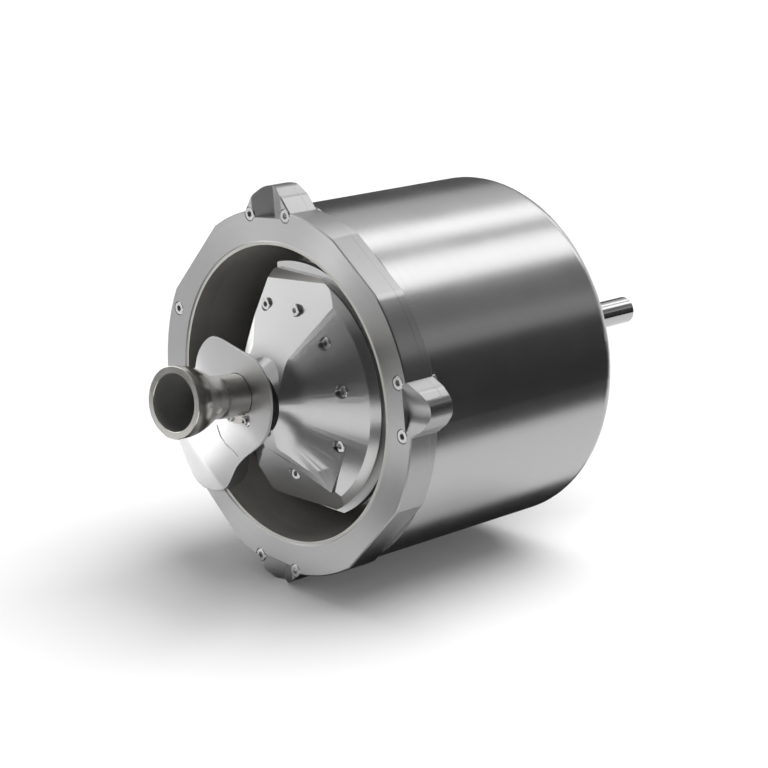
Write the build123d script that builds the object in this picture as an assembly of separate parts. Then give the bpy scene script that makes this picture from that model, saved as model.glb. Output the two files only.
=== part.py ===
from build123d import *
import math
import os

# High shear mixer head: inlet bridge, conical rotor, slotted stator, drum and cartridge shaft.
# Millimetres. +Y runs along the shaft to the drive end, +Z is up and +X is to the right seen
# from the inlet. The origin is the centre of the rear mounting face, where the drum bolts on.
# Stations are distances behind the front face of the ring. Points on a face are (x, z).

# Housing
HOUSING_LENGTH = 238.0
RING_BORE_R = 124.0
RING_OUTER_R = 150.0
RING_THICKNESS = 20.0
RING_EDGE = 1.0
RING_MOUTH_CHAMFER = 1.0
# Each milled flat: angle and distance from the axis
RING_FLATS = ((54.0, 147.2), (139.0, 144.4), (231.0, 144.4), (318.0, 144.4))
# Each lug: angle, crest radius, radius of its two screws, share of the full width, root radius of its notch
LUGS = (
    (96.0, 168.0, 147.0, 1.0, 0.5),
    (7.0, 168.0, 140.5, 0.8, 36.0),
    (267.0, 163.0, 147.5, 1.0, 0.5),
)
LUG_ROOT_R = 140.4
LUG_BASE_HALF = 30.0
LUG_SHOULDER_HALF = 19.0
LUG_SHOULDER_SHARE = 0.69
LUG_CREST_HALF = 7.0
LUG_TOE = (6.0, 1.5)
LUG_TOE_R = 5.0
LUG_CREST_R = 13.0
LUG_NOTCH_HALF = 18.0
LUG_NOTCH_DEPTH = 8.5
LUG_NOTCH_INNER_R = 143.0
LUG_SCREW_HALF_ANGLE = 8.5
PLAIN_SCREW_ANGLE = 160.0
PLAIN_SCREW_R = 140.0

FLANGE_THICKNESS = 8.0
FLANGE_BORE_R = 128.2
LUG_PAD_LENGTH = 13.0
LUG_PAD_RISE = 5.5

DRUM_OUTER_R = 147.5
DRUM_WALL = 5.0
DRUM_REAR_WALL = 13.0
DRUM_EDGE_R = 12.0

BOWL_WALL = 3.0
BOWL_MOUTH_R = 121.5
BOWL_FLOOR_R = 115.5
BOWL_DEPTH = 88.0
BOWL_CORNER_R = 5.0
BOWL_FLANGE_R = 133.0
BOWL_FLANGE_THICKNESS = 4.0
BOWL_HUB_THICKNESS = 8.0
BOWL_HUB_R = 60.0

# Screws: shank radius, head radius, head height
RING_SCREW = (3.0, 5.6, 4.0)
CONE_SCREW = (3.0, 5.0, 4.0)
SMALL_SCREW = (2.5, 4.4, 3.4)
EAR_SCREW = (2.0, 3.1, 2.0)
HOUSING_SCREW = (4.0, 6.5, 8.0)
SCREW_HOLE_CLEARANCE = 0.3
THREAD_CLEARANCE = 0.05
SOCKET_SHARE = 0.5
HEAD_CHAMFER_SHARE = 0.15
RING_SCREW_SEAT = 4.0
RING_SCREW_LENGTH = 22.0

# Inlet: the tube leans from the shaft axis, about the point where it meets the bridge face
INLET_FOOT = (-6.3, 6.6)
INLET_LEAN_SIDE = 5.3
INLET_LEAN_UP = 7.0
INLET_FACE = -110.0
COLLAR_R = 29.0
COLLAR_EDGE = 1.0
COLLAR_LENGTH = 22.0
COLLAR_TAPER = 10.0
NECK_R = 17.5
TUBE_BORE_R = 14.5
MOUTH_BORE_R = 22.5
SOCKET_DEPTH = 6.0
SOCKET_CLEARANCE = 0.3
EAR_SIZE = (27.0, 15.0)
EAR_CORNER_R = 4.0
EAR_DROP = 16.5
EAR_THICKNESS = 3.0
EAR_SCREW_PLACES = ((-8.0, -20.3), (8.0, -20.3))
EAR_SCREW_LENGTH = 7.0
EAR_SCREW_DEPTH = 5.0

# Bridge
BRIDGE_FACE = -41.0
FOOT_THICKNESS = 5.0
FOOT_OVERLAP = 8.0
BRIDGE_SPIGOT = 5.0
BRIDGE_SPIGOT_GAP = 0.5
BRIDGE_RIM_R = 147.5
BRIDGE_RIM_ANGLES = (188.5, 205.0, 221.5)
BRIDGE_SCREW_ANGLES = (194.0, 206.0, 218.0)
BRIDGE_SCREW_R = 138.0
BRIDGE_SCREW_HEAD_DEPTH = 6.0
BRIDGE_SCREW_COVER = 1.5
BRIDGE_LOWER_EDGE = ((-79.0, -100.0), (12.4, -33.4), (18.0, -30.0), (25.0, -25.0))
BRIDGE_SIDE_ARC = ((25.0, -25.0), (34.8, 6.0), (18.0, 39.0))
BRIDGE_UPPER_EDGE = ((18.0, 39.0), (-36.0, 49.5), (-61.0, 36.0), (-70.0, 18.0), (-84.0, 2.0), (-122.0, -8.0))
HUB_CENTRE = (-3.5, 3.5)
HUB_R = 40.3
HUB_EDGE = 1.5
HUB_RELIEF_SLOPE = 1.1
HUB_RELIEF_BACK = -12.0
HUB_TOP_SLOPE = 0.7
# Points of the arm's flats: (x, z) and station
HUB_CORNER = ((-18.0, -17.0), BRIDGE_FACE)
HUB_SIDE = ((20.0, -33.0), BRIDGE_FACE)
ARM_KNEE = ((-42.0, -59.0), -23.0)
ARM_TIP = ((-76.0, -98.0), -5.0)
ARM_LEFT = ((-97.0, -52.0), -5.0)
ARM_START = ((12.4, -33.4), -40.0)
ARM_UNDER = ((-2.6, -37.4), -28.0)

# Rotor
CONE_SLOPE = 0.444
CONE_PITCH_R = 74.0
CONE_RIM_R = 101.0
CONE_RIM_CHAMFER = 6.0
CONE_WALL = 13.0
CONE_RIM_BACK = 28.0
CONE_STEP = 22.0
CONE_FLANGE_R = 105.5
CONE_FLANGE_CHORD = 93.0
CONE_EYE_R = 15.5
CONE_FLARE_R = 46.0
CONE_NOSE_R = 28.0
CONE_NOSE_FRONT = -26.5
# Milled flats run out into the neck along this line of (radius, station)
CONE_NECK = ((26.0, -28.0), (34.0, -15.6), (44.0, 0.0))
CONE_CUT_X = -29.0
CONE_TOP_CHORD = 97.4
CONE_TOP_CHAMFER_BACK = 19.0
CONE_LOW_CHORD = 91.0
CONE_LOW_CHAMFER_BACK = 15.3
TOP_FACET_ANGLES = (57.0, 115.0)
LOW_CREASE_INNER = (-2.0, -42.0)
LOW_CREASE_OUTER = (56.0, -70.0)
LOW_FACET_POINT = (20.0, -74.0)
LOW_FACET_DROP = 6.0
WEDGE_OUTER = (72.6, -34.6)
WEDGE_RISE = 4.0
WEDGE_SIDE_RISE = 0.5
# Radius and angle of each screw
CONE_SCREWS = ((74.0, 105.6), (74.0, 77.9), (74.0, 45.0), (74.0, 13.5), (74.0, -22.4), (65.0, -77.0))
CONE_SCREW_SEAT = 5.0
CONE_SCREW_LENGTH = 24.0
CONE_SCREW_HOLE_END = 33.0
ROTOR_CLEARANCE = 2.5

ROTOR_DISC_R = 94.6
ROTOR_DISC_FRONT = BOWL_DEPTH - 12.0
ROTOR_DISC_THICKNESS = 8.0
ROTOR_HUB_R = 26.0
ROTOR_HUB_FRONT = ROTOR_DISC_FRONT - 8.0
TOOTH_RING_INNER_R = 86.0
TOOTH_RING_FRONT = ROTOR_DISC_FRONT - 16.0
TOOTH_COUNT = 24
TOOTH_SLOT = 5.0
TOOTH_SLOT_FLOOR = ROTOR_DISC_FRONT - 1.0
VANE_INNER_R = 36.0
VANE_OUTER_R = 83.0
VANE_THICKNESS = 5.0
VANE_CURVE_R = 70.0
VANE_BOSS_R = 7.5
WEIGHT_INNER_R = 56.0
WEIGHT_OUTER_R = 83.0
WEIGHT_HALF_ANGLE = 42.0
WEIGHT_THICKNESS = 16.0
NUT_ACROSS_CORNERS_R = 14.0
NUT_THICKNESS = 10.0

SHEAR_GAP = 0.4
STATOR_WALL = 6.5
STATOR_FRONT = TOOTH_RING_FRONT - 2.0
STATOR_LIP = 4.0
STATOR_FLANGE_R = 109.0
STATOR_FLANGE_THICKNESS = 5.0
STATOR_SLOT_COUNT = 36
STATOR_SLOT = 4.5
STATOR_SCREW_COUNT = 6
STATOR_SCREW_START = 15.0
STATOR_SCREW_R = 105.4
STATOR_SCREW_SEAT = BOWL_DEPTH - 1.8
STATOR_SCREW_LENGTH = 4.4

# Shaft: radius of each step and where it ends
SHAFT_NUT_R = 8.0
SHAFT_ROTOR_R = 11.0
SHAFT_SEAL_R = 14.0
SHAFT_BEARING_R = 15.0
SHAFT_BODY_R = 18.0
SHAFT_REAR_SEAL_R = 13.0
SHAFT_DRIVE_R = 12.0
SHAFT_DRIVE_FRONT = 342.0
SHAFT_FRONT = ROTOR_HUB_FRONT - 12.0
SHAFT_FRONT_CHAMFER = 1.0
SHAFT_SHOULDER = 2.0
SHAFT_END = 420.0
SHAFT_END_CHAMFER = 2.5
CLIP_DEPTH = 0.7
CLIP_HEIGHT = 2.6
CLIP_THICKNESS = 1.5
CLIP_GAP = 7.0
CLIP_LAND = 5.0

# Bearings and cartridge
BEARING_OUTER_R = 31.0
BEARING_WIDTH = 16.0
BEARING_INNER_RING_R = 19.5
BEARING_OUTER_RING_R = 26.5
BEARING_RUNNING_GAP = 0.3
BEARING_EDGE = 0.8
SHIELD_THICKNESS = 2.0
SHIELD_INSET = 0.5
FRONT_BEARING = BOWL_DEPTH + 30.0
REAR_BEARING = 305.0
CARTRIDGE_R = 45.0
CARTRIDGE_FRONT = BOWL_DEPTH + 9.0
CARTRIDGE_BACK = 332.0
CARTRIDGE_FLANGE_R = 72.0
CARTRIDGE_FLANGE_THICKNESS = 10.0
CARTRIDGE_FLANGE_EDGE = 1.5
CARTRIDGE_SEAT_DEPTH = 2.0
CARTRIDGE_SEAT_GAP = 0.3
CARTRIDGE_LIP = 3.0
CARTRIDGE_SEAL_WALL = 4.0
CARTRIDGE_SCREW_R = 60.0
CARTRIDGE_SCREW_COUNT = 6
CARTRIDGE_SCREW_LENGTH = 20.0
CAP_THICKNESS = 8.0
CAP_SPIGOT = 5.0
CAP_EDGE = 1.5
CAP_SCREW_R = 38.0
CAP_SCREW_COUNT = 4
CAP_SCREW_START = 45.0
CAP_SCREW_LENGTH = 20.0
CAP_SCREW_HOLE = 14.0

# Seals
SEAL_POCKET_R = 24.0
SEAL_SEAT_GAP = 1.2
SEAL_SEAT_FRONT = BOWL_DEPTH + 1.0
SEAL_SEAT_THICKNESS = 8.0
SEAL_FACE_GAP = 0.1
SEAL_HEAD_WALL = 7.0
SEAL_HEAD_LENGTH = 12.0
REAR_SEAL_R = 20.0
SEAL_LIP_GAP = 0.1
SEAL_LIP_HEIGHT = 3.0
SEAL_LIP_STATIONS = (1.0, 3.0, 4.0)
SEAL_REAR_INSET = 1.0

MOUNT_BOLT_R = 110.0
MOUNT_BOLT_COUNT = 6
MOUNT_HOLE_R = 4.2
MOUNT_BOLT_START = 30.0

BIG = 600.0


def station(distance):
    """Y of a plane that lies this far behind the front face of the ring."""
    return distance - HOUSING_LENGTH


def front_plane(distance):
    """A sketch plane seen from the inlet: local x is +X and local y is +Z."""
    return Plane(origin=(0, station(distance), 0), x_dir=(1, 0, 0), z_dir=(0, -1, 0))


def around(angle):
    """Turn about the shaft axis, so that +X comes to this angle."""
    return Rot(0, -angle, 0)


def turned(points):
    """Revolve a closed outline of (radius, station) points about the shaft axis."""
    outline = Polyline(*[(r, station(s)) for r, s in points], close=True)
    return revolve(make_face(outline), Axis.Y)


def slab(sketch, front, back):
    """A sketch seen from the inlet, carried from one station to another."""
    return extrude(front_plane(front) * sketch, amount=front - back)


def disc(radius, front, back):
    return slab(Circle(radius), front, back)


def ring(outer, inner, front, back):
    return slab(Circle(outer) - Circle(inner), front, back)


def spot(place):
    """Point in space from a place on a face, (x, z), and its station."""
    (x, z), distance = place
    return Vector(x, station(distance), z)


def above_plane(point, normal):
    """A large block on the outer side of a plane, for cutting a flat."""
    cutter = Plane(origin=point, z_dir=normal)
    return cutter * Pos(0, 0, BIG / 2) * Box(BIG, BIG, BIG)


def beyond(a, b, c, outward=(0, -1, 0)):
    """A large block on the outer side of the plane through three points."""
    normal = (b - a).cross(c - a).normalized()
    if normal.dot(Vector(*outward)) < 0:
        normal = -normal
    return above_plane(a, normal)


def polar(radius, angle):
    return radius * math.cos(math.radians(angle)), radius * math.sin(math.radians(angle))


def spread(count, start=0.0):
    """Evenly spaced angles of a full circle."""
    return [start + step * 360 / count for step in range(count)]


def at_places(shape, places):
    """Copies of a shape set at (radius, angle) places about the shaft axis."""
    return [around(angle) * Pos(radius, 0, 0) * shape for radius, angle in places]


def at_angles(shape, radius, angles):
    return at_places(shape, [(radius, angle) for angle in angles])


def screw(size, seat, length):
    """A socket screw along +Y with its seat at a station; the head lies in front."""
    shank_r, head_r, head_height = size
    top = seat - head_height
    body = disc(head_r, top, seat) + disc(shank_r - THREAD_CLEARANCE, seat, seat + length)
    edge = body.faces().sort_by(Axis.Y)[0].edges()
    body = chamfer(edge, head_height * HEAD_CHAMFER_SHARE)
    return body - slab(RegularPolygon(head_r * SOCKET_SHARE, 6), top, top + head_height * SOCKET_SHARE)


def rear_screw(size, seat, length):
    """A socket screw pointing forward, its head behind the seat."""
    shank_r, head_r, head_height = size
    top = seat + head_height
    body = disc(head_r, seat, top) + disc(shank_r - THREAD_CLEARANCE, seat - length, seat)
    body = chamfer(body.faces().sort_by(Axis.Y)[-1].edges(), head_height * HEAD_CHAMFER_SHARE)
    return body - slab(RegularPolygon(head_r * SOCKET_SHARE, 6), top - head_height * SOCKET_SHARE, top)


def screw_hole(size, seat, tap_from, end):
    """Counterbore, clearance hole and tapped hole for one screw."""
    shank_r, head_r, head_height = size
    hole = disc(head_r + SCREW_HOLE_CLEARANCE, seat - head_height - BIG / 4, seat)
    hole += disc(shank_r + SCREW_HOLE_CLEARANCE, seat - 1, tap_from)
    return hole + disc(shank_r, tap_from - 1, end)


def ring_screw_places():
    places = [(PLAIN_SCREW_R, PLAIN_SCREW_ANGLE)]
    for angle, crest, radius, width, root in LUGS:
        places += [(radius, angle - LUG_SCREW_HALF_ANGLE), (radius, angle + LUG_SCREW_HALF_ANGLE)]
    return places


def lug_sketch(crest, width):
    """Hump-shaped lug on +X: radius along x, width along y."""
    low = LUG_ROOT_R
    shoulder = low + (crest - low) * LUG_SHOULDER_SHARE
    toe_rise, toe_step = LUG_TOE
    points = [
        (low, -LUG_BASE_HALF),
        (low + toe_rise, -LUG_BASE_HALF + toe_step),
        (shoulder, -LUG_SHOULDER_HALF),
        (crest, -LUG_CREST_HALF),
        (crest, LUG_CREST_HALF),
        (shoulder, LUG_SHOULDER_HALF),
        (low + toe_rise, LUG_BASE_HALF - toe_step),
        (low, LUG_BASE_HALF),
    ]
    hump = make_face(Polyline(*[(x, y * width) for x, y in points], close=True))
    toes = hump.vertices().filter_by(lambda v: low + 1 < v.X < low + toe_rise + 1)
    hump = fillet(toes, LUG_TOE_R)
    upper = hump.vertices().filter_by(lambda v: v.X > shoulder - 0.1)
    return fillet(upper, LUG_CREST_R)


def rim_sketch():
    """Round outline of the ring with its four milled flats."""
    outline = Sketch() + Circle(RING_OUTER_R)
    for angle, distance in RING_FLATS:
        outline -= Rot(0, 0, angle) * Pos(distance + BIG / 2, 0, 0) * Rectangle(BIG, BIG)
    return outline


def lug_notch(root):
    """V-shaped notch across a lug on +X, rounded at its root."""
    section = make_face(Polyline((-LUG_NOTCH_HALF, 0), (LUG_NOTCH_HALF, 0), (0, -LUG_NOTCH_DEPTH), close=True))
    section = fillet(section.vertices().sort_by(Axis.Y)[0], root)
    start = Plane(origin=(LUG_NOTCH_INNER_R, station(0), 0), x_dir=(0, 0, 1), z_dir=(1, 0, 0))
    return extrude(start * section, amount=BIG / 6)


def front_ring():
    outline = rim_sketch()
    for angle, crest, radius, width, root in LUGS:
        outline += Rot(0, 0, angle) * lug_sketch(crest, width)
    body = slab(outline, 0, RING_THICKNESS)
    body = chamfer(body.faces().sort_by(Axis.Y)[0].edges(), RING_EDGE)
    body -= disc(RING_BORE_R, 0, RING_THICKNESS)
    mouth_r = RING_BORE_R + RING_MOUTH_CHAMFER
    body -= turned([(0, 0), (mouth_r, 0), (RING_BORE_R, RING_MOUTH_CHAMFER), (0, RING_MOUTH_CHAMFER)])
    body -= [around(angle) * lug_notch(root) for angle, crest, radius, width, root in LUGS]
    hole = screw_hole(RING_SCREW, RING_SCREW_SEAT, RING_THICKNESS, RING_THICKNESS + 1)
    body -= at_places(hole, ring_screw_places())
    shank_r, head_r, head_height = SMALL_SCREW
    head_front = RING_THICKNESS - BRIDGE_SCREW_HEAD_DEPTH
    hole = disc(shank_r + SCREW_HOLE_CLEARANCE, 0, RING_THICKNESS)
    hole += disc(head_r + SCREW_HOLE_CLEARANCE, head_front, RING_THICKNESS)
    return body - at_angles(hole, BRIDGE_SCREW_R, BRIDGE_SCREW_ANGLES)


def ring_screws():
    return Compound(at_places(screw(RING_SCREW, RING_SCREW_SEAT, RING_SCREW_LENGTH), ring_screw_places()))


def drum_flange():
    back = RING_THICKNESS + FLANGE_THICKNESS
    pad_back = RING_THICKNESS + LUG_PAD_LENGTH
    body = slab(rim_sketch(), RING_THICKNESS, back)
    for angle, crest, radius, width, root in LUGS:
        high = slab(lug_sketch(crest, width), RING_THICKNESS, back)
        low = lug_sketch(DRUM_OUTER_R + LUG_PAD_RISE, width)
        body += around(angle) * (high + slab(low, RING_THICKNESS, pad_back))
    body -= disc(DRUM_OUTER_R, back, pad_back)
    body -= disc(FLANGE_BORE_R, RING_THICKNESS, back)
    body -= disc(BOWL_FLANGE_R, RING_THICKNESS, RING_THICKNESS + BOWL_FLANGE_THICKNESS)
    return body - at_places(disc(RING_SCREW[0], RING_THICKNESS, back), ring_screw_places())


def drum_shell():
    front = RING_THICKNESS + FLANGE_THICKNESS
    wall_front = HOUSING_LENGTH - DRUM_REAR_WALL
    return ring(DRUM_OUTER_R, DRUM_OUTER_R - DRUM_WALL, front, wall_front)


def drum_back():
    """Rear wall of the drum, with the mounting face and the seat of the cartridge."""
    front = HOUSING_LENGTH - DRUM_REAR_WALL
    seat = HOUSING_LENGTH - CARTRIDGE_SEAT_DEPTH
    body = disc(DRUM_OUTER_R, front, HOUSING_LENGTH)
    body = fillet(body.edges().sort_by(Axis.Y)[-1], DRUM_EDGE_R)
    body -= disc(CARTRIDGE_R, front, HOUSING_LENGTH)
    body -= disc(CARTRIDGE_FLANGE_R + CARTRIDGE_SEAT_GAP, seat, HOUSING_LENGTH)
    bolt_hole = disc(MOUNT_HOLE_R, front, HOUSING_LENGTH)
    body -= at_angles(bolt_hole, MOUNT_BOLT_R, spread(MOUNT_BOLT_COUNT, MOUNT_BOLT_START))
    screw_thread = disc(HOUSING_SCREW[0], front, HOUSING_LENGTH)
    return body - at_angles(screw_thread, CARTRIDGE_SCREW_R, spread(CARTRIDGE_SCREW_COUNT))


def bowl_solid(grow):
    """Solid of the bowl's inside, grown outwards by a wall thickness."""
    floor = BOWL_DEPTH + grow
    corner = BOWL_CORNER_R + grow
    mouth = (BOWL_MOUTH_R + grow, station(RING_THICKNESS))
    side = Line(mouth, (BOWL_FLOOR_R + grow, station(floor - corner)))
    turn = TangentArc(side @ 1, (BOWL_FLOOR_R + grow - corner, station(floor)), tangent=side % 1)
    front = station(RING_MOUTH_CHAMFER)
    rest = Polyline(turn @ 1, (0, station(floor)), (0, front), (BOWL_MOUTH_R + grow, front), mouth)
    return revolve(make_face(Curve() + [side, turn, rest]), Axis.Y)


def mixing_bowl():
    """Side wall of the bowl with its lip, its flange and the round corner at the floor."""
    flange_back = RING_THICKNESS + BOWL_FLANGE_THICKNESS
    body = bowl_solid(BOWL_WALL)
    body -= ring(RING_OUTER_R, RING_BORE_R, 0, flange_back)
    body += disc(BOWL_FLANGE_R, RING_THICKNESS, flange_back)
    return body - bowl_solid(0) - disc(BOWL_FLOOR_R - BOWL_CORNER_R, BOWL_DEPTH, BOWL_DEPTH + BOWL_WALL)


def bowl_floor():
    body = disc(BOWL_FLOOR_R - BOWL_CORNER_R, BOWL_DEPTH, BOWL_DEPTH + BOWL_WALL)
    body += disc(BOWL_HUB_R, BOWL_DEPTH, BOWL_DEPTH + BOWL_HUB_THICKNESS)
    body -= disc(SEAL_POCKET_R, BOWL_DEPTH, BOWL_DEPTH + BOWL_HUB_THICKNESS)
    thread = disc(SMALL_SCREW[0], BOWL_DEPTH, BOWL_DEPTH + BOWL_WALL)
    return body - at_angles(thread, STATOR_SCREW_R, spread(STATOR_SCREW_COUNT, STATOR_SCREW_START))


def cone_surface(radius):
    """Station of the cone's front surface at a radius."""
    return CONE_SLOPE * (radius - CONE_PITCH_R)


def cone_solid(grow):
    """The cone with its flared nose as a solid of revolution, grown forward by a clearance."""
    flat_r = CONE_RIM_R - CONE_RIM_CHAMFER
    flat_end = cone_surface(flat_r) - grow
    rim_r = CONE_RIM_R + grow
    nose = station(CONE_NOSE_FRONT - grow)
    flare_start = (CONE_FLARE_R, station(cone_surface(CONE_FLARE_R) - grow))
    flare = TangentArc(flare_start, (CONE_NOSE_R, nose), tangent=(-1, -CONE_SLOPE))
    rest = Polyline(
        flare @ 1,
        (0, nose),
        (0, station(CONE_RIM_BACK)),
        (CONE_FLANGE_R + grow, station(CONE_RIM_BACK)),
        (CONE_FLANGE_R + grow, station(CONE_STEP - grow)),
        (rim_r, station(CONE_STEP - grow)),
        (rim_r, station(flat_end + CONE_RIM_CHAMFER)),
        (flat_r, station(flat_end)),
        flare @ 0,
    )
    return revolve(make_face(Curve() + [flare, rest]), Axis.Y)


def rotor_envelope():
    """Room that the turning cone and its raised wedge need, with a clearance."""
    inner_r, outer_r = math.hypot(*LOW_CREASE_INNER), math.hypot(*LOW_CREASE_OUTER)
    front = cone_surface(outer_r) - WEDGE_RISE - ROTOR_CLEARANCE
    return cone_solid(ROTOR_CLEARANCE) + turned([
        (inner_r, cone_surface(inner_r) - ROTOR_CLEARANCE),
        (outer_r, front),
        (outer_r + ROTOR_CLEARANCE, front),
        (outer_r + ROTOR_CLEARANCE, CONE_STEP),
        (inner_r, CONE_STEP),
    ])


def under_cone():
    """Space behind the cone's wall, where the vanes stand."""
    inner_end = CONE_RIM_R - CONE_WALL
    return turned([
        (0, cone_surface(0) + CONE_WALL),
        (inner_end, cone_surface(inner_end) + CONE_WALL),
        (inner_end, ROTOR_DISC_FRONT),
        (0, ROTOR_DISC_FRONT),
    ])


def cone_spot(point, drop=0.0):
    """Point on the cone's surface at a place on its face, or behind it by a drop."""
    return spot((point, cone_surface(math.hypot(*point)) + drop))


def cone_flats():
    """Cutters of the two large flats, which run out into the neck."""
    low, base, high = CONE_NECK
    neck = turned([(0, low[1]), low, base, high, (0, high[1])])
    keep = neck + disc(BIG / 2, CONE_STEP, BIG / 2)
    top = beyond(cone_spot((0, 0)), *[cone_spot(polar(CONE_RIM_R, angle)) for angle in TOP_FACET_ANGLES])
    bottom = beyond(cone_spot(LOW_CREASE_INNER), cone_spot(LOW_CREASE_OUTER),
                    cone_spot(LOW_FACET_POINT, LOW_FACET_DROP))
    return [top - keep, bottom - keep]


def low_wedge():
    """Raised flat beside the lower crease, with a ledge along its outer chord."""
    inner, outer, side = LOW_CREASE_INNER, LOW_CREASE_OUTER, WEDGE_OUTER
    outline = make_face(Polyline(inner, outer, side, close=True))
    block = slab(outline, cone_surface(0), CONE_STEP)
    return block - beyond(cone_spot(inner), cone_spot(outer, -WEDGE_RISE), cone_spot(side, -WEDGE_SIDE_RISE))


def impeller_cone():
    body = cone_solid(0) - cone_flats() + low_wedge()
    chords = ((1, CONE_TOP_CHORD, CONE_TOP_CHAMFER_BACK), (-1, CONE_LOW_CHORD, CONE_LOW_CHAMFER_BACK))
    for side, chord, chamfer_back in chords:
        body -= Pos(0, station(CONE_STEP) - BIG / 2, side * (chord + BIG / 2)) * Box(BIG, BIG, BIG)
        edge = (0, station(chamfer_back), side * chord)
        body -= above_plane(edge, (0, -1, side)) - disc(BIG / 2, CONE_STEP, BIG / 2)
    body -= Pos(0, 0, -CONE_FLANGE_CHORD - BIG / 2) * Box(BIG, BIG * 2, BIG)
    body -= under_cone()
    body -= disc(CONE_EYE_R, CONE_NOSE_FRONT, CONE_RIM_BACK)
    body -= above_plane((CONE_CUT_X, 0, 0), (-1, 0, 0))
    hole = screw_hole(CONE_SCREW, CONE_SCREW_SEAT, CONE_RIM_BACK, CONE_RIM_BACK + 1)
    return body - at_places(hole, CONE_SCREWS)


def cone_screws():
    return Compound(at_places(screw(CONE_SCREW, CONE_SCREW_SEAT, CONE_SCREW_LENGTH), CONE_SCREWS))


def vane_sketch(boss_place):
    """One curved vane: a strip of a large circle between two radii, with a screw boss."""
    centre = Pos(boss_place, -VANE_CURVE_R)
    half_wall = VANE_THICKNESS / 2
    strip = centre * (Circle(VANE_CURVE_R + half_wall) - Circle(VANE_CURVE_R - half_wall))
    strip &= Circle(VANE_OUTER_R) - Circle(VANE_INNER_R)
    near_side = Rot(0, 0, -math.degrees(math.atan2(VANE_CURVE_R, boss_place)))
    strip &= near_side * Pos(BIG / 2, BIG / 2) * Rectangle(BIG, BIG)
    return strip + Pos(boss_place, 0) * Circle(VANE_BOSS_R)


def rotor_vanes():
    """Curved vanes between the cone and the disc, one at each screw of the cone."""
    vanes = []
    for radius, angle in CONE_SCREWS:
        vane = slab(vane_sketch(radius), cone_surface(0), ROTOR_DISC_FRONT) & under_cone()
        vane -= Pos(radius, 0, 0) * disc(CONE_SCREW[0], 0, CONE_SCREW_HOLE_END)
        vanes.append(around(angle) * vane)
    return Compound(vanes)


def rotor_disc():
    back = ROTOR_DISC_FRONT + ROTOR_DISC_THICKNESS
    body = disc(ROTOR_DISC_R, ROTOR_DISC_FRONT, back)
    body += ring(ROTOR_DISC_R, TOOTH_RING_INNER_R, TOOTH_RING_FRONT, ROTOR_DISC_FRONT)
    slot = slab(Rectangle(BIG / 20, TOOTH_SLOT), TOOTH_RING_FRONT, TOOTH_SLOT_FLOOR)
    body -= at_angles(slot, ROTOR_DISC_R, spread(TOOTH_COUNT))
    body += disc(ROTOR_HUB_R, ROTOR_HUB_FRONT, back)
    return body - disc(SHAFT_ROTOR_R, ROTOR_HUB_FRONT, back)


def balance_weight():
    """Sector of a ring on the left of the disc, opposite the cone."""
    body = ring(WEIGHT_OUTER_R, WEIGHT_INNER_R, ROTOR_DISC_FRONT - WEIGHT_THICKNESS, ROTOR_DISC_FRONT)
    for side in (1, -1):
        x, z = polar(1, 180 + side * (WEIGHT_HALF_ANGLE + 90))
        body -= above_plane((0, 0, 0), (x, 0, z))
    return body


def rotor_nut():
    body = slab(RegularPolygon(NUT_ACROSS_CORNERS_R, 6), ROTOR_HUB_FRONT - NUT_THICKNESS, ROTOR_HUB_FRONT)
    return body - disc(SHAFT_NUT_R, ROTOR_HUB_FRONT - NUT_THICKNESS, ROTOR_HUB_FRONT)


def stator_ring():
    inner = ROTOR_DISC_R + SHEAR_GAP
    flange_front = BOWL_DEPTH - STATOR_FLANGE_THICKNESS
    body = ring(inner + STATOR_WALL, inner, STATOR_FRONT, BOWL_DEPTH)
    body += ring(STATOR_FLANGE_R, inner, flange_front, BOWL_DEPTH)
    slot = slab(Rectangle(STATOR_WALL * 2, STATOR_SLOT), STATOR_FRONT + STATOR_LIP, flange_front - STATOR_LIP)
    body -= at_angles(slot, inner + STATOR_WALL / 2, spread(STATOR_SLOT_COUNT))
    hole = screw_hole(SMALL_SCREW, STATOR_SCREW_SEAT, BOWL_DEPTH, BOWL_DEPTH + 1)
    return body - at_angles(hole, STATOR_SCREW_R, spread(STATOR_SCREW_COUNT, STATOR_SCREW_START))


def stator_screws():
    one = screw(SMALL_SCREW, STATOR_SCREW_SEAT, STATOR_SCREW_LENGTH)
    return Compound(at_angles(one, STATOR_SCREW_R, spread(STATOR_SCREW_COUNT, STATOR_SCREW_START)))


def on_inlet_axis(shape):
    """Carry a shape made about the shaft axis onto the leaning axis of the inlet."""
    x, z = INLET_FOOT
    lean = Rot(0, 0, INLET_LEAN_SIDE) * Rot(-INLET_LEAN_UP, 0, 0)
    return Pos(x, station(BRIDGE_FACE), z) * lean * Pos(0, -station(BRIDGE_FACE), 0) * shape


def ear_sketch(grow):
    """Outline of the screwed ear below the foot of the tube."""
    width, height = EAR_SIZE
    return Pos(0, -EAR_DROP) * RectangleRounded(width + 2 * grow, height + 2 * grow, EAR_CORNER_R + grow)


def bridge_outline():
    """Bridge seen from the inlet, from its foot on the ring to the hub round the tube."""
    rim = [polar(BRIDGE_RIM_R, angle) for angle in BRIDGE_RIM_ANGLES]
    return make_face(Curve() + [
        Polyline(rim[2], *BRIDGE_LOWER_EDGE),
        ThreePointArc(*BRIDGE_SIDE_ARC),
        Polyline(*BRIDGE_UPPER_EDGE, rim[0]),
        ThreePointArc(*rim),
    ])


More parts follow.
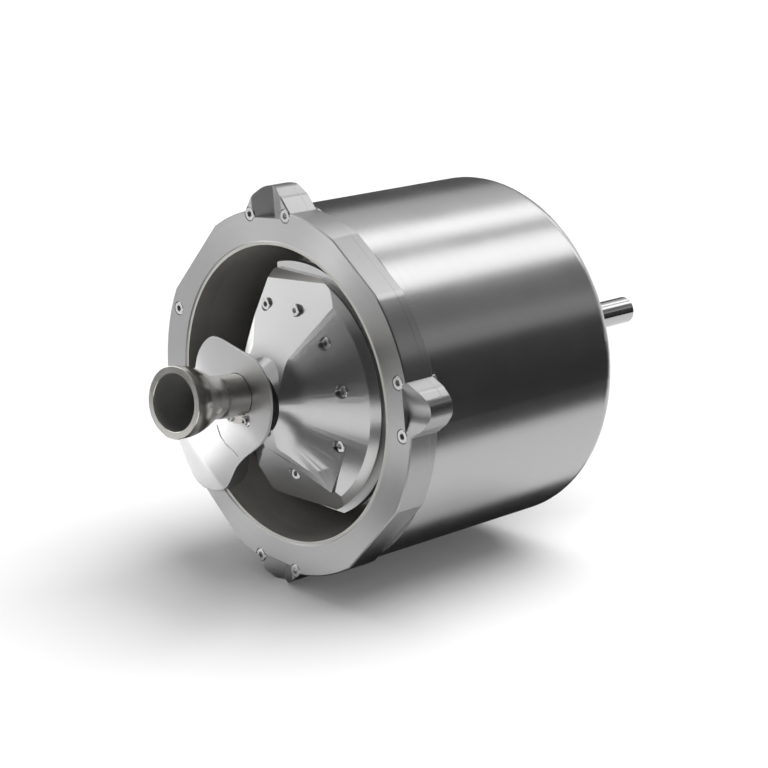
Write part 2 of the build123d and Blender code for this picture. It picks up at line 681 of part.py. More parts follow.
def hub_relief():
    """Cutters that slope the hub's back away from its thin edge."""
    x, z = HUB_CENTRE
    edge_back = BRIDGE_FACE + HUB_EDGE
    back, far = HUB_RELIEF_BACK, BIG / 4
    narrow_r = HUB_R + (edge_back - back) * HUB_RELIEF_SLOPE
    side = Pos(x, 0, z) * turned([(HUB_R, edge_back), (far, edge_back), (far, back), (narrow_r, back)])
    side -= above_plane((x, 0, 0), (-1, 0, 0))
    left, right = BRIDGE_UPPER_EDGE[1], BRIDGE_UPPER_EDGE[0]
    lower = (left[0], left[1] + edge_back * HUB_TOP_SLOPE)
    top = beyond(spot((left, edge_back)), spot((right, edge_back)), spot((lower, 0)), (0, 0, 1))
    return [side, top & disc(BIG / 2, edge_back, BRIDGE_SPIGOT)]


def inlet_bridge():
    body = slab(bridge_outline(), BRIDGE_FACE, BRIDGE_SPIGOT)
    foot = body & disc(BIG / 2, -FOOT_THICKNESS, 0)
    foot -= disc(BOWL_MOUTH_R - FOOT_OVERLAP, -FOOT_THICKNESS, 0)
    corner, tip, knee, left = spot(HUB_CORNER), spot(ARM_TIP), spot(ARM_KNEE), spot(ARM_LEFT)
    body -= [
        beyond(corner, spot(HUB_SIDE), tip),
        beyond(corner, knee, left),
        beyond(knee, tip, left),
        beyond(tip, spot(ARM_START), spot(ARM_UNDER), (1, 0, -1)),
    ]
    body -= hub_relief()
    body -= ring(BIG / 2, BOWL_MOUTH_R - BRIDGE_SPIGOT_GAP, 0, BRIDGE_SPIGOT)
    body += foot
    body -= rotor_envelope()
    socket_back = BRIDGE_FACE + SOCKET_DEPTH
    socket = slab(Circle(NECK_R + SOCKET_CLEARANCE) + ear_sketch(SOCKET_CLEARANCE), BRIDGE_FACE * 2, socket_back)
    threads = slab(Circle(EAR_SCREW[0]), socket_back, socket_back + EAR_SCREW_DEPTH)
    body -= on_inlet_axis(socket)
    body -= on_inlet_axis(disc(TUBE_BORE_R, BRIDGE_FACE, 0))
    body -= [on_inlet_axis(Pos(x, 0, z) * threads) for x, z in EAR_SCREW_PLACES]
    thread = disc(SMALL_SCREW[0], BRIDGE_SCREW_COVER - FOOT_THICKNESS, 0)
    return body - at_angles(thread, BRIDGE_SCREW_R, BRIDGE_SCREW_ANGLES)


def bridge_screws():
    """Screws from behind the ring, so that the foot shows none."""
    seat = RING_THICKNESS - BRIDGE_SCREW_HEAD_DEPTH
    one = rear_screw(SMALL_SCREW, seat, seat + FOOT_THICKNESS - 2 * BRIDGE_SCREW_COVER)
    return Compound(at_angles(one, BRIDGE_SCREW_R, BRIDGE_SCREW_ANGLES))


def inlet_tube():
    """Inlet tube with a thick collar, plugged into the bridge and held by an ear."""
    seat = BRIDGE_FACE + SOCKET_DEPTH
    collar_back = INLET_FACE + COLLAR_LENGTH
    neck_front = collar_back + COLLAR_TAPER
    body = turned([
        (MOUTH_BORE_R, INLET_FACE),
        (COLLAR_R - COLLAR_EDGE, INLET_FACE),
        (COLLAR_R, INLET_FACE + COLLAR_EDGE),
        (COLLAR_R, collar_back),
        (NECK_R, neck_front),
        (NECK_R, seat),
        (TUBE_BORE_R, seat),
        (TUBE_BORE_R, neck_front),
        (MOUTH_BORE_R, collar_back),
    ])
    body += slab(ear_sketch(0), seat - EAR_THICKNESS, seat) - disc(NECK_R, seat - EAR_THICKNESS, seat)
    hole = disc(EAR_SCREW[0] + SCREW_HOLE_CLEARANCE, seat - EAR_THICKNESS, seat)
    body -= [Pos(x, 0, z) * hole for x, z in EAR_SCREW_PLACES]
    return on_inlet_axis(body)


def inlet_screws():
    one = screw(EAR_SCREW, BRIDGE_FACE + SOCKET_DEPTH - EAR_THICKNESS, EAR_SCREW_LENGTH)
    return Compound([on_inlet_axis(Pos(x, 0, z) * one) for x, z in EAR_SCREW_PLACES])


def drive_shaft():
    disc_back = ROTOR_DISC_FRONT + ROTOR_DISC_THICKNESS
    seal_end = FRONT_BEARING - SHAFT_SHOULDER
    front_back = FRONT_BEARING + BEARING_WIDTH
    clip_front = REAR_BEARING + BEARING_WIDTH
    clip_back = clip_front + CLIP_THICKNESS
    land_back = clip_front + CLIP_LAND
    return turned([
        (0, SHAFT_FRONT),
        (SHAFT_NUT_R - SHAFT_FRONT_CHAMFER, SHAFT_FRONT),
        (SHAFT_NUT_R, SHAFT_FRONT + SHAFT_FRONT_CHAMFER),
        (SHAFT_NUT_R, ROTOR_HUB_FRONT),
        (SHAFT_ROTOR_R, ROTOR_HUB_FRONT),
        (SHAFT_ROTOR_R, disc_back),
        (SHAFT_SEAL_R, disc_back),
        (SHAFT_SEAL_R, seal_end),
        (SHAFT_BEARING_R, seal_end),
        (SHAFT_BEARING_R, front_back),
        (SHAFT_BODY_R, front_back),
        (SHAFT_BODY_R, REAR_BEARING),
        (SHAFT_BEARING_R, REAR_BEARING),
        (SHAFT_BEARING_R, clip_front),
        (SHAFT_BEARING_R - CLIP_DEPTH, clip_front),
        (SHAFT_BEARING_R - CLIP_DEPTH, clip_back),
        (SHAFT_BEARING_R, clip_back),
        (SHAFT_BEARING_R, land_back),
        (SHAFT_REAR_SEAL_R, land_back),
        (SHAFT_REAR_SEAL_R, SHAFT_DRIVE_FRONT),
        (SHAFT_DRIVE_R, SHAFT_DRIVE_FRONT),
        (SHAFT_DRIVE_R, SHAFT_END - SHAFT_END_CHAMFER),
        (SHAFT_DRIVE_R - SHAFT_END_CHAMFER, SHAFT_END),
        (0, SHAFT_END),
    ])


def retaining_ring():
    front = REAR_BEARING + BEARING_WIDTH
    back = front + CLIP_THICKNESS
    body = ring(SHAFT_BEARING_R + CLIP_HEIGHT, SHAFT_BEARING_R - CLIP_DEPTH, front, back)
    return body - Pos(SHAFT_BEARING_R, 0, 0) * slab(Rectangle(SHAFT_BEARING_R, CLIP_GAP), front, back)


def outer_race(front):
    """Outer bearing ring with its two shields."""
    body = ring(BEARING_OUTER_R, BEARING_OUTER_RING_R, front, front + BEARING_WIDTH)
    edges = body.edges().filter_by(GeomType.CIRCLE).filter_by(lambda e: e.radius > BEARING_OUTER_R - 1)
    body = chamfer(edges, BEARING_EDGE)
    shield_r = BEARING_INNER_RING_R + BEARING_RUNNING_GAP
    for face in (front + SHIELD_INSET, front + BEARING_WIDTH - SHIELD_INSET - SHIELD_THICKNESS):
        body += ring(BEARING_OUTER_RING_R, shield_r, face, face + SHIELD_THICKNESS)
    return body


def inner_race(front):
    return ring(BEARING_INNER_RING_R, SHAFT_BEARING_R, front, front + BEARING_WIDTH)


def bearing_housing():
    """Cartridge tube with a seat for each bearing."""
    lip_r = BEARING_OUTER_R - CARTRIDGE_LIP
    front_back = FRONT_BEARING + BEARING_WIDTH
    pocket = FRONT_BEARING - CARTRIDGE_SEAL_WALL
    body = turned([
        (SEAL_POCKET_R, CARTRIDGE_FRONT),
        (CARTRIDGE_R, CARTRIDGE_FRONT),
        (CARTRIDGE_R, CARTRIDGE_BACK),
        (BEARING_OUTER_R, CARTRIDGE_BACK),
        (BEARING_OUTER_R, REAR_BEARING),
        (lip_r, REAR_BEARING),
        (lip_r, front_back),
        (BEARING_OUTER_R, front_back),
        (BEARING_OUTER_R, pocket),
        (SEAL_POCKET_R, pocket),
    ])
    thread = disc(SMALL_SCREW[0], CARTRIDGE_BACK - CAP_SCREW_HOLE, CARTRIDGE_BACK)
    return body - at_angles(thread, CAP_SCREW_R, spread(CAP_SCREW_COUNT, CAP_SCREW_START))


def housing_flange():
    """Flange welded round the cartridge, screwed to the back of the drum."""
    front = HOUSING_LENGTH - CARTRIDGE_SEAT_DEPTH
    back = front + CARTRIDGE_FLANGE_THICKNESS
    body = disc(CARTRIDGE_FLANGE_R, front, back)
    body = chamfer(body.faces().sort_by(Axis.Y)[-1].edges(), CARTRIDGE_FLANGE_EDGE)
    body -= disc(CARTRIDGE_R, front, back)
    hole = disc(HOUSING_SCREW[0] + SCREW_HOLE_CLEARANCE, front, back)
    return body - at_angles(hole, CARTRIDGE_SCREW_R, spread(CARTRIDGE_SCREW_COUNT))


def housing_screws():
    seat = HOUSING_LENGTH - CARTRIDGE_SEAT_DEPTH + CARTRIDGE_FLANGE_THICKNESS
    one = rear_screw(HOUSING_SCREW, seat, CARTRIDGE_SCREW_LENGTH)
    return Compound(at_angles(one, CARTRIDGE_SCREW_R, spread(CARTRIDGE_SCREW_COUNT)))


def bearing_cap():
    back = CARTRIDGE_BACK + CAP_THICKNESS
    body = disc(CARTRIDGE_R, CARTRIDGE_BACK, back)
    body = chamfer(body.faces().sort_by(Axis.Y)[-1].edges(), CAP_EDGE)
    body += disc(BEARING_OUTER_R, REAR_BEARING + BEARING_WIDTH, CARTRIDGE_BACK)
    body -= disc(BEARING_OUTER_R - CAP_SPIGOT, REAR_BEARING + BEARING_WIDTH, CARTRIDGE_BACK)
    body -= disc(REAR_SEAL_R, CARTRIDGE_BACK, back)
    hole = disc(SMALL_SCREW[0] + SCREW_HOLE_CLEARANCE, CARTRIDGE_BACK, back)
    return body - at_angles(hole, CAP_SCREW_R, spread(CAP_SCREW_COUNT, CAP_SCREW_START))


def cap_screws():
    one = rear_screw(SMALL_SCREW, CARTRIDGE_BACK + CAP_THICKNESS, CAP_SCREW_LENGTH)
    return Compound(at_angles(one, CAP_SCREW_R, spread(CAP_SCREW_COUNT, CAP_SCREW_START)))


def rear_shaft_seal():
    """Lip seal pressed into the bearing cap."""
    front = CARTRIDGE_BACK
    back = front + CAP_THICKNESS - SEAL_REAR_INSET
    lip_r = SHAFT_REAR_SEAL_R + SEAL_LIP_GAP
    throat_r = SHAFT_REAR_SEAL_R + SEAL_LIP_HEIGHT
    lip_front, lip_back, throat_back = SEAL_LIP_STATIONS
    return turned([
        (lip_r, front + lip_front),
        (throat_r, front),
        (REAR_SEAL_R, front),
        (REAR_SEAL_R, back),
        (throat_r, back),
        (throat_r, front + throat_back),
        (lip_r, front + lip_back),
    ])


def seal_seat():
    back = SEAL_SEAT_FRONT + SEAL_SEAT_THICKNESS
    return ring(SEAL_POCKET_R, SHAFT_SEAL_R + SEAL_SEAT_GAP, SEAL_SEAT_FRONT, back)


def seal_head():
    front = SEAL_SEAT_FRONT + SEAL_SEAT_THICKNESS + SEAL_FACE_GAP
    return ring(SHAFT_SEAL_R + SEAL_HEAD_WALL, SHAFT_SEAL_R, front, front + SEAL_HEAD_LENGTH)


NODES = {
    "front_ring": front_ring,
    "ring_screws": ring_screws,
    "drum_flange": drum_flange,
    "drum_shell": drum_shell,
    "drum_back": drum_back,
    "mixing_bowl": mixing_bowl,
    "bowl_floor": bowl_floor,
    "inlet_bridge": inlet_bridge,
    "bridge_screws": bridge_screws,
    "inlet_tube": inlet_tube,
    "inlet_screws": inlet_screws,
    "stator_ring": stator_ring,
    "stator_screws": stator_screws,
    "bearing_housing": bearing_housing,
    "housing_flange": housing_flange,
    "housing_screws": housing_screws,
    "front_bearing_outer_race": lambda: outer_race(FRONT_BEARING),
    "rear_bearing_outer_race": lambda: outer_race(REAR_BEARING),
    "bearing_cap": bearing_cap,
    "cap_screws": cap_screws,
    "rear_shaft_seal": rear_shaft_seal,
    "seal_seat": seal_seat,
    "drive_shaft": drive_shaft,
    "rotor_disc": rotor_disc,
    "rotor_vanes": rotor_vanes,
    "impeller_cone": impeller_cone,
    "cone_screws": cone_screws,
    "balance_weight": balance_weight,
    "rotor_nut": rotor_nut,
    "seal_head": seal_head,
    "front_bearing_inner_race": lambda: inner_race(FRONT_BEARING),
    "rear_bearing_inner_race": lambda: inner_race(REAR_BEARING),
    "retaining_ring": retaining_ring,
}

os.makedirs("parts", exist_ok=True)
for name, make in NODES.items():
    export_step(make(), f"parts/{name}.step")
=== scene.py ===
"""High shear mixer head.

Finishes, smooth turned skins, stage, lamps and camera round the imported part. Its origin is the
centre of the rear mounting face, with +Y along the shaft to its drive end and +Z up.
"""

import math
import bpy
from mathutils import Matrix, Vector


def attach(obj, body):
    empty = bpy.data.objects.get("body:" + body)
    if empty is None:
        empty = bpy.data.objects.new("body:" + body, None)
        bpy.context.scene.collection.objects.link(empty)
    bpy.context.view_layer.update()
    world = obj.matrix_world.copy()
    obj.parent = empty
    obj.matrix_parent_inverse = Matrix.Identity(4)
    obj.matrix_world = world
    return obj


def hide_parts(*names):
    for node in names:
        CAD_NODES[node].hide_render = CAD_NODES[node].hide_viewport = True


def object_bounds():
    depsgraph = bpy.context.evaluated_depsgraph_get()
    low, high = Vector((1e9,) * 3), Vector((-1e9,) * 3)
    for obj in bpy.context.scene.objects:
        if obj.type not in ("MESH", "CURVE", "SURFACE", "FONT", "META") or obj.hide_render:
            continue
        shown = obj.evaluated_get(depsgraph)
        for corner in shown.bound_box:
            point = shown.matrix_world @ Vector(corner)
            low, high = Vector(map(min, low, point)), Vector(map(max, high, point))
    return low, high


bl_info = {
    "name": "High Shear Mixer Head",
    "version": (1, 0, 0),
    "blender": (4, 5, 0),
    "location": "3D View > Sidebar > Mixer",
    "description": "Steel finishes, smooth turned skins and a studio for a high shear mixer head",
    "category": "Object",
}

import bmesh
import bpy
import numpy as np
from bpy.props import FloatProperty, FloatVectorProperty, PointerProperty
from mathutils import Vector

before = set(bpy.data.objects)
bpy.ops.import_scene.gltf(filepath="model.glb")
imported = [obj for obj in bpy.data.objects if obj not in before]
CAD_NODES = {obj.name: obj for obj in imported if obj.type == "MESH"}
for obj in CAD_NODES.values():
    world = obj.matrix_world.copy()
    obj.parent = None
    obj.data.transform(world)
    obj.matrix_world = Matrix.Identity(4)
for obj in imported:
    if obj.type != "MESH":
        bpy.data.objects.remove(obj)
CAD_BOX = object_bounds()

# From the ring's front face to the rear mounting face, in metres
HOUSING_LENGTH = 0.238

# Edges that turn more than this are sharp, on copies of CAD nodes and on the grids made here
SHARP = math.radians(13.0)
GRID_SHARP = math.radians(32.0)
# A copy's points closer than this are merged, and its faces flatter than this are joined
MERGE_DISTANCE = 0.00001
FLAT = math.radians(0.5)

# Bridge, in millimetres. Its outline as x and z, seen from the inlet
BRIDGE_EDGE = (
    (35.4, 11.3), (33.2, 22.2), (27.8, 30.4), (20.3, 37.3), (10.7, 41.6), (-1.6, 43.8),
    (-13.9, 46.2), (-26.4, 48.6), (-36.5, 48.8), (-45.0, 45.2), (-53.0, 38.2), (-60.3, 28.4),
    (-65.0, 17.9), (-72.0, 6.0), (-90.0, -3.0), (-120.0, -8.0), (-138.0, -12.0), (-145.5, -24.0),
    (-143.0, -40.0), (-133.7, -62.3), (-123.0, -81.0), (-111.0, -95.0), (-98.0, -101.0),
    (-84.0, -101.0), (-71.6, -97.0), (-61.0, -89.8), (-48.0, -78.5), (-35.4, -66.6),
    (-22.0, -56.4), (-8.9, -47.6), (4.0, -40.0), (14.5, -33.3), (23.5, -26.0), (30.0, -17.5),
    (33.8, -7.0), (35.4, 2.0),
)
# Stations of its face and foot behind the ring's front, and its thickness at the hub
BRIDGE_FACE, BRIDGE_FOOT = -41.0, -5.0
BRIDGE_THICK = 12.4
# Planes of its front, each by three points as x, z and station
BRIDGE_PLANES = (
    ((-18.0, -17.0, -41.0), (20.0, -33.0, -41.0), (-76.0, -98.0, -5.0)),
    ((-18.0, -27.0, -41.0), (-66.0, 14.0, -41.0), (-76.0, -98.0, -5.5)),
    ((-62.0, 20.0, -41.0), (-62.0, -20.0, -41.0), (-140.0, 0.0, -5.0)),
)
# Widths of the rounded changes into each plane and onto the foot
BRIDGE_KNEES, FOOT_KNEE = (3.0, 4.0, 6.0), 1.0
# Rounded rim of its front, and the least wall behind it
BRIDGE_ROUND, BRIDGE_WALL = 1.2, 2.4
# Its back: radius about the shaft axis and station there
BRIDGE_BACK = (
    (0.0, -28.6), (28.0, -28.6), (46.0, -14.8), (102.0, 4.9), (121.0, 4.9), (121.4, 0.0),
    (200.0, 0.0),
)
# Its back's edge as a share of the outline's distance from the tube: the least share, the distance
# from which it grows, and by how much over how far
BACK_LEAST, BACK_FROM, BACK_GROWTH, BACK_OVER = 0.42, 46.0, 0.58, 45.0
# Scribed line on its front, and the depth and half width of the line
BRIDGE_LINE = ((-45.6, -29.9), (-45.2, -38.9), (-39.0, -44.8), (-29.0, -48.6), (-24.5, -51.6))
LINE_SIZE = 0.9
# Places round its outline, and rows over its front, side and back
BRIDGE_PLACES, FRONT_ROWS, SIDE_ROWS, BACK_ROWS = 480, 130, 10, 24

# Inlet tube, in millimetres. Where its axis meets the bridge's face, and how the axis leans
INLET_FOOT = (-6.3, 6.6)
INLET_TURN, INLET_RISE = math.radians(5.3), math.radians(7.0)
# How far the bore through the bridge moves along x and z, for each unit behind the bridge's face
INLET_LEAN = (0.0928, -0.1233)
# Distance from the bridge's face along the tube's axis, and radius
TUBE_OUTSIDE = (
    (-6.0, 17.4), (20.0, 17.4), (27.0, 17.3), (31.5, 18.0), (36.5, 19.9), (42.5, 22.7),
    (49.0, 25.5), (56.0, 27.5), (62.0, 28.3), (68.0, 28.5),
)
TUBE_RIM = ((68.5, 28.5), (68.95, 28.0), (68.95, 23.1), (68.6, 22.7))
TUBE_INSIDE = (
    (68.0, 22.7), (57.0, 22.5), (50.0, 20.9), (43.0, 18.2), (37.0, 16.0), (31.0, 14.8),
    (22.0, 14.6), (-6.0, 14.6),
)
TUBE_BORE = 14.6
TUBE_PLACES, TUBE_STEPS = 160, 8
# Ear below the tube's foot: half its size, its corners and how far below the axis it lies
EAR_HALF, EAR_CORNER, EAR_DROP = (13.5, 7.5), 4.0, -16.5
# Rows of the ear: share of its outline, and distance from the bridge's face
EAR_ROWS = ((0.02, -3.0), (0.95, -3.0), (1.0, -3.4), (1.0, -6.0), (0.02, -6.0))
# Socket in the bridge for tube and ear: depth, radius round the tube, straight half and corner of
# the ear's pocket, and the distances from the axis at which its edge is looked for
SOCKET_DEPTH, SOCKET_RADIUS = 6.0, 17.8
SOCKET_STRAIGHT, SOCKET_CORNER = (9.8, 3.8), 4.3
SOCKET_REACH, SOCKET_TRIES = 30.0, 245

# Tool lines: how strongly highlights are drawn out across them
ANISOTROPY, RING_ANISOTROPY = 0.5, 0.85
# Most of a noise lies between these values
NOISE_LOW, NOISE_HIGH = 0.3, 0.7

# Studio, in metres. Bands of card round the shaft axis: first and last angle from +X over +Z, and
# brightness
BANDS_BEHIND = (
    (-5.8, 24.0, 0.05), (24.0, 38.0, 0.42), (38.0, 64.0, 0.25), (64.0, 86.0, 2.4),
    (86.0, 97.0, 0.45), (97.0, 113.0, 2.6), (113.0, 143.0, 0.75), (143.0, 185.8, 0.08),
)
BANDS_BEFORE = (
    (-5.8, 60.0, 0.12), (60.0, 120.0, 0.6), (120.0, 150.0, 1.5), (150.0, 175.0, 2.2),
    (175.0, 185.8, 0.9),
)
# The bands' radius, where the two sets meet, how far off they end, their height above the floor,
# and the flat steps in each
BANDS_RADIUS, BANDS_MEET, BANDS_END = 1.6, -0.3, 3.2
BANDS_ABOVE, BAND_STEPS = 0.002, 12
# Flat cards: first corner, opposite corner and brightness. One measure is the same at both corners.
CARDS = {
    "card_beside": ((0.33, -0.12, -0.160), (1.7, 3.2, -0.160), 0.04),
    # Dark sheet under the part: painted shade that stands in for the floor's shadow as reflections
    # see it.
    "card_under_painted_shade": ((-0.20, -0.25, -0.162), (0.10, 0.12, -0.162), 0.02),
    "card_left": ((-0.65, -0.42, -0.161), (-0.24, 0.10, -0.161), 4.4),
    "card_between": ((-0.24, -0.42, -0.161), (-0.17, 0.10, -0.161), 0.7),
    "card_ahead_far": ((-0.17, -0.95, -0.161), (0.45, -0.52, -0.161), 1.2),
    "card_ahead": ((-0.17, -0.52, -0.160), (0.45, -0.37, -0.160), 0.15),
    "card_ahead_near": ((-0.17, -0.37, -0.161), (0.33, -0.27, -0.161), 1.2),
    "card_in_front": ((-0.35, -0.95, -0.12), (1.4, -0.95, 0.90), 0.06),
    "card_low_left": ((-1.30, -1.40, -0.16), (-0.42, -1.40, 0.12), 0.10),
    "card_far_left": ((-1.60, -1.41, 0.26), (-0.80, -1.41, 0.90), 0.65),
    "card_window": ((-0.80, -1.40, 0.20), (-0.36, -1.40, 0.52), 11.0),
}
FLOOR_HALF = 30.0
# Soft lamp: the direction its light falls in, and how wide it looks
LAMP_FALL, LAMP_SPREAD = (-0.30, -0.62, -1.6), math.radians(55.0)
# How far the camera stands aside and above, as shares of its distance, and its sensor in mm
CAMERA_ASIDE, CAMERA_ABOVE, CAMERA_SENSOR = 0.0466, 0.0049, 36.0
BLACK, WHITE = (0, 0, 0, 1), (1, 1, 1, 1)


# Property groups


def steel_colour(name, description, grey):
    """Colour property whose default is a grey, or a colour of three numbers."""
    default = grey if isinstance(grey, tuple) else (grey, grey, grey)
    return FloatVectorProperty(name=name, description=description, subtype="COLOR",
                               size=3, min=0.0, max=1.0, default=default)


def share(name, description, default):
    """Property between 0 and 1."""
    return FloatProperty(name=name, description=description, default=default,
                         min=0.0, max=1.0, subtype="FACTOR")


class MixerColours(bpy.types.PropertyGroup):
    """Colour of each finish."""

    ring: steel_colour("Ring", "Milled front ring and its flange", 0.36)
    drum: steel_colour("Drum", "Turned drum and its rear wall", 0.42)
    bowl: steel_colour("Bowl", "Inside of the bowl", (0.47, 0.46, 0.43))
    bridge: steel_colour("Bridge", "Inlet bridge", 0.37)
    tube: steel_colour("Tube", "Inlet tube", (0.62, 0.605, 0.57))
    # The bore's colour is a rough unpolished inside, darkened far below steel as painted shade for
    # the tube's hollow.
    bore: steel_colour("Bore", "Inside of the inlet tube", (0.16, 0.16, 0.15))
    rotor: steel_colour("Rotor", "Conical rotor, disc and vanes", 0.48)
    stator: steel_colour("Stator", "Slotted stator", (0.30, 0.30, 0.29))
    shaft: steel_colour("Shaft", "Ground shaft", 0.45)
    screws: steel_colour("Screws", "Screws, nut and clip", 0.55)
    iron: steel_colour("Iron", "Bearing cartridge", 0.20)
    bearing: steel_colour("Bearings", "Bearing races", 0.50)
    rubber: steel_colour("Rubber", "Lip seal", 0.03)
    carbide: steel_colour("Carbide", "Seal faces", (0.07, 0.07, 0.08))


class MixerFinish(bpy.types.PropertyGroup):
    """How smooth each finish is."""

    ring_roughness: share("Ring roughness", "Roughness of the milled ring", 0.34)
    drum_roughness: share("Drum roughness", "Roughness of the turned drum", 0.25)
    bowl_roughness: share("Bowl roughness", "Roughness of the blasted bowl", 0.45)
    bridge_roughness: share("Bridge roughness", "Roughness of the milled bridge", 0.42)
    tube_roughness: share("Tube roughness", "Roughness of the polished tube", 0.17)
    bore_roughness: share("Bore roughness", "Roughness of the tube's bore", 0.8)
    rotor_roughness: share("Rotor roughness", "Roughness of the brushed rotor", 0.24)
    stator_roughness: share("Stator roughness", "Roughness of the machined stator", 0.35)
    shaft_roughness: share("Shaft roughness", "Roughness of the ground shaft", 0.18)
    screw_roughness: share("Screw roughness", "Roughness of screws, nut and clip", 0.2)
    iron_roughness: share("Iron roughness", "Roughness of the bearing cartridge", 0.42)
    bearing_roughness: share("Bearing roughness", "Roughness of the races", 0.16)
    rubber_roughness: share("Rubber roughness", "Roughness of the lip seal", 0.6)
    carbide_roughness: share("Carbide roughness", "Roughness of the seal faces", 0.25)
    edge_width: FloatProperty(
        name="Edge width", description="Width of the rounded edges of milled pieces",
        default=0.0009, min=0.0001, max=0.005, subtype="DISTANCE", unit="LENGTH")
    line_pitch: FloatProperty(
        name="Tool line pitch", description="Distance between the fine tool lines",
        default=0.0004, min=0.0001, max=0.01, subtype="DISTANCE", unit="LENGTH")


class MixerStage(bpy.types.PropertyGroup):
    """Floor, lamps and camera."""

    floor_colour: steel_colour("Floor", "Colour of the floor", 0.94)
    floor_glow: FloatProperty(
        name="Floor glow", description="Light added to the floor as the camera sees it",
        default=0.06, min=0.0, max=1.0)
    daylight: FloatProperty(
        name="Daylight", description="Strength of the even light all round",
        default=0.3, min=0.0, max=5.0)
    lamp_level: FloatProperty(
        name="Lamp level", description="Strength of the soft lamp above",
        default=2.75, min=0.0, max=20.0)
    camera_azimuth: FloatProperty(
        name="Camera azimuth", description="Angle of the camera round the shaft's front",
        default=math.radians(46.9), subtype="ANGLE", unit="ROTATION")
    camera_elevation: FloatProperty(
        name="Camera elevation", description="Angle of the camera above the horizon",
        default=math.radians(15.8), subtype="ANGLE", unit="ROTATION")
    camera_distance: FloatProperty(
        name="Camera distance", description="Distance from the ring's front face",
        default=1.765, min=0.1, subtype="DISTANCE", unit="LENGTH")
    camera_lens: FloatProperty(
        name="Camera lens", description="Focal length of the camera",
        default=102.94, min=1.0, unit="CAMERA")


# Materials


